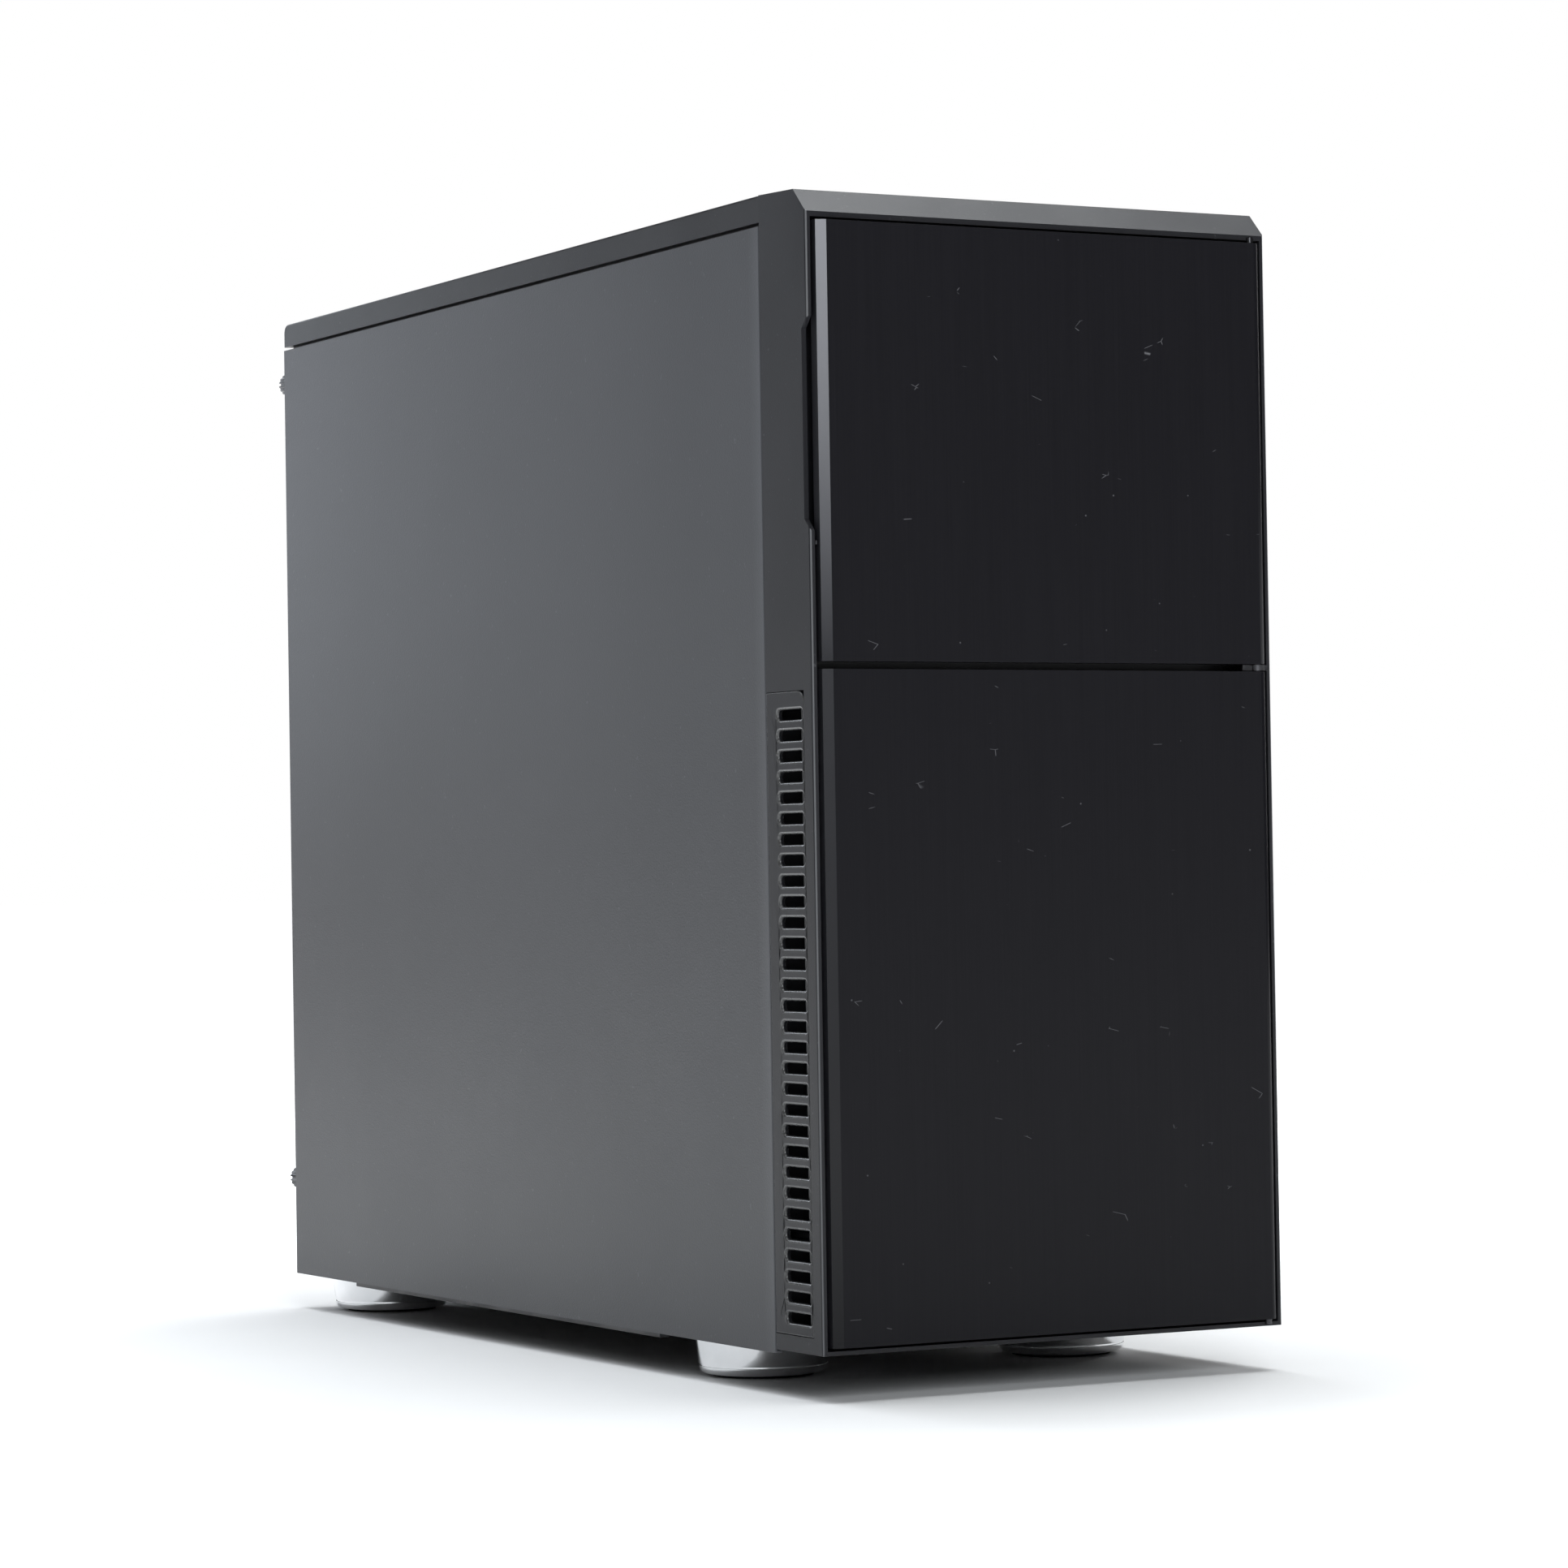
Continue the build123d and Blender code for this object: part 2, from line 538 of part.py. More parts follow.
def optical_bay_cage():
    """Two bay walls with a floor and a ceiling between them, open at the front and rear."""
    y = (SEAM_Y + SHEET, -50.0)
    z = (BAY_Z[0] - 2, BAY_Z[1] + 2)
    window_y = (y[0] + 30, y[1] - 30)
    inner_x = BAY_HALF + 1.2
    tools = []
    for i in range(3):
        bay_mid = BAY_Z[0] + (i + 0.5) * BAY_PITCH
        tools.append(block((-BAY_HALF - 3, BAY_HALF + 3), window_y, (bay_mid - 9, bay_mid + 9)))
    plates = [cut(block(sorted((side * inner_x, side * (inner_x + SHEET))), y, z), tools) for side in (-1, 1)]
    for bottom in (z[0], z[1] - SHEET):
        plate = block((-inner_x, inner_x), y, (bottom, bottom + SHEET))
        plates.append(plate - block((-50, 50), window_y, (bottom - 1, bottom + 2)))
    return plates


def drive_cage():
    """Cage for 3.5 inch drives, open to both sides, with air windows front and rear."""
    (y0, y1), (z0, z1) = CAGE_Y, CAGE_Z
    outer = block((-CAGE_HALF, CAGE_HALF), (y0, y1), (z0, z1))
    inner = block((-CAGE_HALF - 1, CAGE_HALF + 1), (y0 + 1, y1 - 1), (z0 + 1, z1 - 1))
    tools = [inner]
    for i in range(TRAY_COUNT):
        z = TRAY_FIRST_Z + i * TRAY_PITCH
        tools += [block((x - 20, x + 20), (y0 - 1, y1 + 1), (z + 6, z + 28)) for x in (-48, 0, 48)]
    feet = [block((x - 8, x + 8), (y0, y1), (PAN_TOP, z0 + 0.1)) for x in (-66, 66)]
    return fuse([cut(outer, tools)] + feet)


def drive_trays():
    """Six sleds, each a floor with two low walls and a pull handle on the left."""
    trays = []
    y0, y1 = CAGE_Y[0] + 1.3, CAGE_Y[1] - 1.3
    for i in range(TRAY_COUNT):
        z = TRAY_FIRST_Z + i * TRAY_PITCH
        floor = block((-CAGE_HALF, CAGE_HALF - 6), (y0, y1), (z - 4, z - 2))
        walls = [block((-CAGE_HALF, CAGE_HALF - 6), (y - 0.6, y + 0.6), (z - 3, z + 5))
                 for y in (y0 + 0.6, y1 - 0.6)]
        handle = block((-CAGE_HALF - 4, -CAGE_HALF), (y0 + 4, y1 - 4), (z - 4, z + 26))
        window = block((-CAGE_HALF - 5, -CAGE_HALF + 1), (y0 + 14, y1 - 14), (z + 1, z + 21))
        trays.append(fuse([floor, handle - window] + walls))
    return trays


def hard_drives():
    """Two 3.5 inch drives, 147 by 101.6 by 26.1, cast shells with a hollow inside."""
    drives = []
    mid_y = sum(CAGE_Y) / 2
    for i in LOADED_TRAYS:
        z = TRAY_FIRST_Z + i * TRAY_PITCH - 1.8
        y = (mid_y - 49.8, mid_y + 49.8)
        body = block((-76, 71), y, (z, z + 26.1))
        hollow = block((-73, 66), (y[0] + 3, y[1] - 3), (z + 4, z + 24))
        plug = block((66, 72), (y[0] + 12, y[0] + 52), (z + 1.5, z + 7))
        drives.append(cut(body, [hollow, plug]))
    return drives


def top_cover():
    """Moulded top shell on an inset skirt, which leaves a shadow groove over the panels."""
    y = (SEAM_Y, REAR_Y)
    shell = block((-HALF, HALF), y, (COVER_BOTTOM, HEIGHT))
    rear_top = shell.edges().filter_by(Axis.X).sort_by(Axis.Y)[-2:].sort_by(Axis.Z)[-1]
    shell = fillet(rear_top, 4.0)
    sides = shell.edges().filter_by(Axis.Y).group_by(Axis.Z)[-1]
    shell = fillet(sides, 0.8)
    hollow = block((-HALF + 2.5, HALF - 2.5), (y[0] + 2, y[1] - 2.5), (COVER_BOTTOM - 1, HEIGHT - 2.5))
    skirt = block((-99.5, 99.5), (y[0] + 1, REAR_WALL_Y), (ROOF_Z + SHEET, COVER_BOTTOM + 4))
    inside = block((-98, 98), (y[0] + 2.5, REAR_WALL_Y - 1.5), (ROOF_Z, COVER_BOTTOM + 5))
    ledge = block((-HALF + 2, HALF - 2), (y[0] + 1, y[1] - 2), (COVER_BOTTOM, COVER_BOTTOM + 1))
    ledge = ledge - block((-98, 98), (y[0] + 2.5, REAR_WALL_Y - 1.5), (COVER_BOTTOM - 1, COVER_BOTTOM + 2))
    return fuse([shell - hollow, skirt - inside, ledge])


# ---------------------------------------------------------------- side panels
def left_side_panel():
    """Folded sheet with hems on three edges and a screwed flange behind the rear wall."""
    y = (SEAM_Y + PANEL_GAP, REAR_Y)
    x = (-HALF, -HALF + SHEET)
    sheet = block(x, y, (FOOT_HEIGHT, PANEL_TOP))
    hem_x = (-HALF, -HALF + PANEL_HEM)
    top = block(hem_x, y, (PANEL_TOP - SHEET, PANEL_TOP))
    low = block(hem_x, y, (FOOT_HEIGHT, FOOT_HEIGHT + SHEET))
    rear = block((-HALF, -HALF + PANEL_FLANGE), (REAR_Y - SHEET, REAR_Y), (FOOT_HEIGHT, PANEL_TOP))
    panel = fuse([sheet, top, low, rear])
    front = panel.edges().filter_by(Axis.Z).sort_by(Axis.Y)[0:2].sort_by(Axis.X)[0]
    panel = fillet(front, 0.6)
    holes = [rod((-THUMB_X, REAR_Y - 2, z), 1.9, 4, "Y") for z in THUMB_Z]
    return cut(panel, holes)


def thumbscrew(side, z):
    """Knurled head on a threaded shank through the panel flange and the rear wall."""
    head = rod((side * THUMB_X, REAR_Y, z), 5.5, SCREW_PROUD, "Y")
    notches = [rod((side * THUMB_X + 5.9 * cos(radians(a)), REAR_Y + 2.5, z + 5.9 * sin(radians(a))),
                   0.75, SCREW_PROUD, "Y") for a in range(0, 360, 20)]
    slot = block((side * THUMB_X - 6, side * THUMB_X + 6), (DEPTH / 2 - 1.5, DEPTH / 2 + 1),
                 (z - 0.6, z + 0.6))
    shank = rod((side * THUMB_X, REAR_Y - 7, z), 1.8, 7.5, "Y")
    return cut(head, notches + [slot]) + shank


# ---------------------------------------------------------------- fans
def fan_frame(size, depth):
    """Square fan frame at the origin, axis +Y, with a bearing post for the rotor."""
    half = size / 2
    ring = block((-half, half), (0, depth), (-half, half))
    ring = fillet(ring.edges().filter_by(Axis.Y), size * 0.045)
    waist = rod((0, 4, 0), half * 1.6, depth - 8, "Y") - rod((0, 3, 0), half * 1.02, depth, "Y")
    hole = half - size * 0.0875
    tools = [rod((0, -1, 0), half - 2, depth + 2, "Y"), waist]
    tools += [rod((dx, -1, dz), 2.15, depth + 2, "Y") for dx in (-hole, hole) for dz in (-hole, hole)]
    ring = cut(ring, tools)
    hub = rod((0, depth - 3, 0), size * 0.18, 3, "Y")
    post = rod((0, 5, 0), FAN_SHAFT_R, depth - 7, "Y")
    struts = [Rot(0, a, 0) * block((0, half - 1), (depth - 3, depth), (-1.6, 1.6))
              for a in (45, 135, 225, 315)]
    return fuse([ring, hub, post] + struts)


def fan_rotor(size, depth, blades=7):
    """Hub cup and twisted blades that turn on the frame's post, axis +Y."""
    hub_r = size * 0.17
    tip_r = size / 2 - 3.2
    mid = depth / 2 - 1
    cup = rod((0, 2.0, 0), hub_r, depth - 6, "Y")
    cup = fillet(cup.edges().filter_by(GeomType.CIRCLE).sort_by(Axis.Y)[0], 1.5)
    root = blade_section(hub_r - 2, size * 0.17, 48, mid)
    tip = blade_section(tip_r + 2, size * 0.30, 28, mid)
    blade = loft([root, tip])
    limit = rod((0, 1, 0), tip_r, depth - 5, "Y")
    blade = blade & limit
    wheel = fuse([cup] + [Rot(0, 360 / blades * i, 0) * blade for i in range(blades)])
    bore = rod((0, 4.5, 0), FAN_SHAFT_R + 0.06, depth, "Y")
    return wheel - bore


def blade_section(radius, chord, pitch, mid):
    plane = Plane(origin=(radius, mid, 0), x_dir=(0, 0, 1), z_dir=(1, 0, 0))
    return plane * (Rot(0, 0, pitch) * SlotOverall(chord, 1.8))


def front_fan_place(z):
    return Pos(0, FRONT_FAN_Y, z)


REAR_FAN_PLACE = Pos(REAR_FAN_X, REAR_FAN_Y, REAR_FAN_Z)
CASE_FAN_PLACES = [front_fan_place(z) for z in FRONT_FAN_Z] + [REAR_FAN_PLACE]
CPU_FAN_SIZE = 92.0
CPU_FAN_PLACE = Pos(8, CPU_Y - 25 - FAN_DEPTH, CPU_Z)
# the power supply fan draws air up through the floor, the graphics fan blows up onto its card
PSU_FAN_SIZE = 80.0
PSU_FAN_PLACE = Pos(PSU_FAN[0], PSU_FAN[1], PSU_Z[0] + SHEET) * Rot(90, 0, 0)
CARD_FAN_SIZE = 70.0
CARD_FAN_PLACE = Pos(8, 150, SLOT_TOP_Z - 35) * Rot(90, 0, 0)


# ---------------------------------------------------------------- power supply
def power_supply_case():
    """Thin steel case with a fan opening below and vent slots at the rear."""
    outer = block(PSU_X, PSU_Y, PSU_Z)
    inner = block((PSU_X[0] + SHEET, PSU_X[1] - SHEET), (PSU_Y[0] + SHEET, PSU_Y[1] - SHEET),
                  (PSU_Z[0] + SHEET, PSU_Z[1] - SHEET))
    rear = (PSU_Y[1] - 3, PSU_Y[1] + 1)
    tools = [inner, rod((PSU_FAN[0], PSU_FAN[1], PSU_Z[0] - 1), 37, 3)]
    tools.append(around(INLET_X, PSU_Y[1], SWITCH_Z, 27.4, 6, 20.0))
    tools.append(around(SWITCH_X, PSU_Y[1], SWITCH_Z, 12.4, 6, 19.4))
    tools += hex_rows((PSU_X[0] + 8, PSU_X[1] - 8), (PSU_Z[0] + 40, PSU_Z[1] - 8), rear)
    tools.append(around(50, PSU_Y[0], 60, 24, 4, 16))
    return cut(outer, tools)


def hex_rows(x, z, y):
    """Rows of hexagon holes through a wall."""
    tools = []
    pitch = 8.0
    rows = int((z[1] - z[0]) / (pitch * 0.866))
    cols = int((x[1] - x[0]) / pitch)
    for row in range(rows):
        for col in range(cols):
            centre = (x[0] + (col + 0.5 + 0.5 * (row % 2)) * pitch, y[0], z[0] + (row + 0.5) * pitch * 0.866)
            plane = Plane(origin=centre, x_dir=(1, 0, 0), z_dir=(0, 1, 0))
            tools.append(extrude(plane * RegularPolygon(3.6, 6), amount=y[1] - y[0]))
    return tools


def power_supply_core():
    """Circuit board, transformer, heat sinks and capacitors inside the case."""
    x0, x1 = PSU_X[0] + 4, PSU_X[1] - 4
    z_top = PSU_Z[1] - 4
    board = block((x0, x1), (PSU_Y[0] + 4, PSU_Y[1] - 28), (z_top - 1.6, z_top))
    pieces = [board, block((-15, 20), (150, 185), (z_top - 40, z_top - 1.5))]
    for x in (-50, 45):
        pieces.append(block((x - 2, x + 2), (PSU_Y[0] + 15, 210), (z_top - 45, z_top - 1.5)))
    for y in (130, 195):
        pieces.append(rod((-32, y, z_top - 36), 10, 35, "Z"))
    return fuse(pieces)


def mains_inlet():
    """Recessed three-pin inlet."""
    y = PSU_Y[1]
    flange = around(INLET_X, y + 1.0, SWITCH_Z, 31, 2.0, 23)
    body = around(INLET_X, y - 9.5, SWITCH_Z, 27, 19, 19.6)
    cavity = around(INLET_X, y - 7, SWITCH_Z, 23.5, 18.1, 16)
    pins = [around(INLET_X + dx, y - 8, SWITCH_Z + dz, 2, 15, 4) for dx, dz in ((-6, -2), (6, -2), (0, 2.5))]
    return fuse([fuse([flange, body]) - cavity] + pins)


def rocker_switch():
    """Rocker on a cross pin, tilted to its off side."""
    y = PSU_Y[1] - 1.0
    rocker = Pos(SWITCH_X, y, SWITCH_Z) * Rot(6, 0, 0) * Box(9.5, 5, 16)
    boss = rod((SWITCH_X - 4.75, y, SWITCH_Z), 3.0, 9.5, "X")
    return rocker + boss


def switch_frame():
    """Snap-in frame around the rocker."""
    y = PSU_Y[1]
    outer = fuse([around(SWITCH_X, y + 0.75, SWITCH_Z, 15, 1.5, 22),
                  around(SWITCH_X, y - 5, SWITCH_Z, 12, 10, 19)])
    well = around(SWITCH_X, y - 3, SWITCH_Z, 10.1, 12, 17.4)
    return outer - well


# ---------------------------------------------------------------- motherboard
def motherboard():
    return block(BOARD_X, BOARD_Y, BOARD_Z)


def board_sockets():
    """Processor socket, memory sockets, expansion sockets, power and data headers."""
    face = BOARD_X[0]
    pieces = [block((face - 4, face), (CPU_Y - 20, CPU_Y + 20), (CPU_Z - 20, CPU_Z + 20))]
    for y in MEMORY_Y:
        base = block((face - 8, face), (y - 3, y + 3), (MEMORY_Z[0] - 3, MEMORY_Z[1] + 3))
        pieces.append(base - block((face - 9, face - 4), (y - 0.8, y + 0.8), MEMORY_Z))
    for i in range(6):
        z = SLOT_TOP_Z - i * EXPANSION_PITCH
        strip = block((face - 11, face), (100, 190), (z - 3.5, z + 3.5))
        pieces.append(strip - block((face - 12, face - 4), (101, 189), (z - 0.9, z + 0.9)))
    pieces.append(block((face - 10, face), (8, 18), (300, 352)))
    pieces.append(block((face - 10, face), (200, 218), (408, 418)))
    pieces += [block((face - 12, face), (6, 20), (z, z + 6)) for z in (150, 162, 174, 186)]
    return pieces


def board_heat_sinks():
    """Finned chipset and regulator heat sinks."""
    face = BOARD_X[0]
    sinks = []
    for (y0, y1), (z0, z1), tall in (((28, 72), (180, 224), 14), ((196, 212), (300, 390), 24),
                                     ((120, 180), (398, 412), 20)):
        base = block((face - 4, face), (y0, y1), (z0, z1))
        along_z = (z1 - z0) >= (y1 - y0)
        span = (z1 - z0) if along_z else (y1 - y0)
        fins = []
        for k in range(int(span / 5)):
            start = 1.0 + 5 * k
            if along_z:
                fins.append(block((face - tall, face - 3.9), (y0, y1), (z0 + start, z0 + start + 1.6)))
            else:
                fins.append(block((face - tall, face - 3.9), (y0 + start, y0 + start + 1.6), (z0, z1)))
        sinks.append(fuse([base] + fins))
    return sinks


def cpu_cooler():
    """Base block, four heat pipes and a stack of fins that faces the fan."""
    base = block((58, BOARD_X[0] - 4), (CPU_Y - 19, CPU_Y + 19), (CPU_Z - 19, CPU_Z + 19))
    pieces = [base]
    for dy in (-10, 10):
        for dz in (-38, 38):
            pieces.append(rod((-38, CPU_Y + dy, CPU_Z + dz), 3, 104, "X"))
            arm = sorted((CPU_Z + dz, CPU_Z))
            pieces.append(block((60, 66), (CPU_Y + dy - 3, CPU_Y + dy + 3), arm))
    for i in range(22):
        x = -36 + 4.0 * i
        pieces.append(block((x, x + 0.8), (CPU_Y - 24.8, CPU_Y + 25), (CPU_Z - 46, CPU_Z + 46)))
    return fuse(pieces)


def memory_modules():
    """Two modules in the first and third sockets."""
    modules = []
    for y in (MEMORY_Y[0], MEMORY_Y[2]):
        board = block((BOARD_X[0] - 33, BOARD_X[0] - 4), (y - 0.65, y + 0.65),
                      (MEMORY_Z[0] + 0.5, MEMORY_Z[1] - 0.5))
        chips = [block((BOARD_X[0] - 28, BOARD_X[0] - 14), (y - 1.8, y - 0.6), (z, z + 10))
                 for z in (MEMORY_Z[0] + 6 + 15.5 * k for k in range(8))]
        modules.append(fuse([board] + chips))
    return modules


def rear_ports():
    """Port shells that stand through the shield: keyboard, USB, network and audio."""
    y = (226.0, REAR_WALL_Y + 1.5)
    face = BOARD_X[0]
    pieces = []
    for z in (276, 296):
        for dx in (-9, -25):
            jack = around(face + dx, 238.75, z, 12, 25.5, 12)
            pieces.append(jack - rod((face + dx, 240, z), 1.75, 20, "Y"))
    net = block((face - 16, face - 0.5), y, (314, 331))
    pieces.append(net - block((face - 13, face - 4), (236, 260), (317, 328)))
    for z in (334, 350, 366):
        shell = block((face - 16, face - 0.5), y, (z, z + 14))
        holes = [block((face - x - 5.4, face - x), (236, 260), (z + 0.8, z + 13.2)) for x in (1.3, 9.4)]
        pieces.append(cut(shell, holes))
    serial = block((face - 14, face - 0.5), y, (384, 402))
    pieces.append(serial)
    keys = [rod((face - 8, 226, 411), 6.5, y[1] - 226, "Y"), rod((face - 24, 226, 411), 6.5, y[1] - 226, "Y")]
    pieces += [key - rod((key.center().X, 240, 411), 4.5, 20, "Y") for key in keys]
    return pieces


def io_shield():
    """Thin shield plate in the rear wall, cut out around the ports."""
    face = BOARD_X[0]
    plate = block((IO_X[0] - 2, IO_X[1] + 0.2), (REAR_WALL_Y - 0.7, REAR_WALL_Y - 0.1),
                  (IO_Z[0] - 2, IO_Z[1] + 2))
    tools = [around(face + dx, REAR_WALL_Y, z, 12.6, 4, 12.6) for z in (276, 296) for dx in (-9, -25)]
    for z0, z1 in ((314, 331), (334, 348), (350, 364), (366, 380), (384, 402)):
        tools.append(block((face - 16.3, face + 1), (REAR_WALL_Y - 3, REAR_WALL_Y + 2), (z0 - 0.3, z1 + 0.3)))
    tools += [rod((face + dx, REAR_WALL_Y - 3, 411), 6.8, 5, "Y") for dx in (-8, -24)]
    return cut(plate, tools)


# ---------------------------------------------------------------- expansion cards
def slot_bracket(z, height=18.6):
    """Bracket plate behind a slot opening, with its screw tab folded inwards."""
    y = (REAR_WALL_Y - 0.9, REAR_WALL_Y - 0.1)
    plate = block((-50, 66), y, (z - height / 2, z + height / 2))
    tab = block((-50, -49.2), (REAR_WALL_Y - 12, y[1]), (z - 9, z + 9))
    return plate + tab


def slot_covers():
    return [slot_bracket(SLOT_TOP_Z - i * EXPANSION_PITCH) for i in range(2, EXPANSION_COUNT)]


def graphics_card():
    """Card board with its two-slot bracket and two display sockets."""
    z = SLOT_TOP_Z
    board = block((-38, BOARD_X[0] - 11.3), (75, REAR_WALL_Y - 0.9), (z - 0.8, z + 0.8))
    tongue = block((BOARD_X[0] - 12, BOARD_X[0] - 4.2), (101.5, 188.5), (z - 0.8, z + 0.8))
    board = board + tongue
    bracket = slot_bracket(z) + slot_bracket(z - EXPANSION_PITCH)
    bridge = block((-50, 66), (REAR_WALL_Y - 0.9, REAR_WALL_Y - 0.1), (z - EXPANSION_PITCH, z))
    sockets = [block((x - 19, x + 19), (REAR_WALL_Y - 20, REAR_WALL_Y + 3), (z - 6, z + 4))
               for x in (-18, 32)]
    return fuse([board, bracket, bridge] + sockets)


def graphics_cooler():
    """Shroud under the card with an open fan well and a finned block."""
    z1 = SLOT_TOP_Z - 0.9
    z0 = SLOT_TOP_Z - 35
    shroud = block((-36, 60), (80, 228), (z0, z1))
    shroud = fillet(shroud.edges().filter_by(Axis.Z), 6)
    well = rod((8, 150, z0 - 1), CARD_FAN_SIZE / 2, 23)
    inside = block((-34, 58), (82, 226), (z0 + 2, z1 - 3))
    shell = cut(shroud, [well, inside])
    hub = rod((8, 150, z0 + 17.5), 12, z1 - z0 - 19)
    post = rod((8, 150, z0 + 5), FAN_SHAFT_R, 13)
    fins = [block((-33.9, 57.9), (y, y + 1), (z1 - 10, z1 - 2.9)) for y in range(86, 224, 6)]
    return fuse([shell, hub, post] + fins)


# ---------------------------------------------------------------- feet and dust filter
def foot_ring(x, y):
    """Chrome foot: a slightly tapered cup with a rounded lower edge and a groove."""
    z0, z1 = PAD_THICK, PAN_BOTTOM
    outline = Plane.XZ * make_face(Polyline((8, z0), (FOOT_LOW_R, z0), (FOOT_TOP_R, z1), (8, z1), close=True))
    ring = revolve(outline, Axis.Z)
    low_edge = ring.edges().filter_by(GeomType.CIRCLE).group_by(Axis.Z)[0].sort_by(SortBy.LENGTH)[-1]
    ring = fillet(low_edge, 3.0)
    groove = Pos(0, 0, 4.6) * (Cylinder(FOOT_TOP_R + 2, 0.7) - Cylinder(FOOT_LOW_R + 0.1, 0.9))
    recess = Pos(0, 0, z0) * Cylinder(FOOT_LOW_R - 5, 1.6)
    cavity = rod((0, 0, z0 + 3), FOOT_LOW_R - 3, z1 - z0 - 5) - rod((0, 0, z0), 11, z1)
    return Pos(x, y, 0) * cut(ring, [groove, recess, cavity])


def foot_pad(x, y):
    return Pos(x, y, 0) * rod((0, 0, 0), FOOT_LOW_R - 5.1, PAD_THICK + 0.8)


FOOT_PLACES = [(side * FOOT_X, y) for side in (-1, 1) for y in FOOT_Y]


def dust_filter():
    """Slide-out filter under the power supply, with a pull lip at the rear."""
    z = (13.6, 16.8)
    frame = block((-38.5, 38.5), (100, 251), z)
    window = block((-34, 34), (106, 243), (12, 18))
    bars = [block((x - 0.5, x + 0.5), (105.5, 243.5), (14.4, 15.6)) for x in (-28 + 4 * i for i in range(15))]
    cross = [block((-34.5, 34.5), (y - 0.5, y + 0.5), (14.4, 15.6)) for y in (133, 160, 187, 214)]
    lip = block((-14, 14), (251, 254), (11.5, 16.8))
    return fuse([frame - window, lip] + bars + cross)


# ---------------------------------------------------------------- fasteners and cables
def chassis_screws():
    """Pan-head screws of the rear fan and the power supply."""
    out = REAR_WALL_Y + SHEET
    screws = [pan_screw(REAR_FAN_X + dx, out, REAR_FAN_Z + dz)
              for dx in FAN_HOLES for dz in FAN_HOLES]
    screws += [pan_screw(x, out, PSU_Z[1] - 20) for x in (PSU_X[0] + 1.5, PSU_X[1] - 1.5)]
    return screws


def pan_screw(x, y, z):
    head = rod((x, y, z), 3.6, 2.2, "Y")
    head = fillet(head.edges().filter_by(GeomType.CIRCLE).sort_by(Axis.Y)[-1], 1.0)
    return head - fuse([around(x, y + 2.2, z, 4.4, 2.4, 0.9), around(x, y + 2.2, z, 0.9, 2.4, 4.4)])


def cable(points, radius):
    """A round cable along straight runs joined by arcs, as large as the runs allow."""
    corners = [Vector(*p) for p in points]
    radii = []
    for a, b, c in zip(corners, corners[1:], corners[2:]):
        run = min((b - a).length, (c - b).length)
        turn = radians((b - a).get_angle(c - b))
        radii.append(0.45 * run / (sin(turn / 2) / cos(turn / 2)))
    path = FilletPolyline(*corners, radius=radii)
    section = Plane(origin=path @ 0, z_dir=path % 0) * Circle(radius)
    return sweep(section, path=path)


POWER_CABLE = [(40, 108, 60), (38, 90, 62), (34, 62, 74), (28, 42, 105), (20, 30, 150), (12, 24, 205),
               (10, 18, 262), (18, 14, 304), (32, 13, 326), (48, 13, 326)]
PROCESSOR_CABLE = [(56, 108, 60), (62, 92, 61), (76, 70, 64), (90, 62, 84), (92, 68, 130), (92, 90, 190),
                   (92, 130, 262), (92, 175, 330), (91, 206, 385), (88, 217, 418), (74, 216, 434),
                   (52, 211, 438), (30, 209, 432), (24, 209, 418), (34, 209, 413), (50, 209, 413)]
DRIVE_CABLE = [(74, -165, 72), (84, -162, 73), (92, -140, 80), (93, -100, 100), (92, -60, 126),
               (90, -32, 150), (80, -19, 162), (68, -12, 167), (64, -3, 165), (64, 5.8, 165)]
PANEL_CABLE = [(0, -226, 428), (0, -200, 429), (4, -150, 431), (16, -90, 431), (34, -44, 425),
               (52, -26, 390), (52, -26, 330), (50, -28, 270), (50, -26, 210), (52, -18, 165),
               (58, -6, 140), (66, 8, 128)]


def power_cables():
    """Main board lead and processor lead, each with its plug."""
    main_plug = block((48, BOARD_X[0] - 10), (9, 17), (301, 351))
    cpu_plug = block((50, BOARD_X[0] - 10), (201, 217), (409, 417))
    return [cable(POWER_CABLE, 5.0), main_plug, cable(PROCESSOR_CABLE, 2.2), cpu_plug]


def data_cables():
    return [cable(DRIVE_CABLE, 2.5), cable(PANEL_CABLE, 2.5)]


# ---------------------------------------------------------------- write every node
UPPER_Z = (DOOR_SPLIT_TOP, DOOR_TOP)
LOWER_Z = (DOOR_BOTTOM, DOOR_SPLIT_BOTTOM)
left_vent = side_vent()
left_panel = left_side_panel()

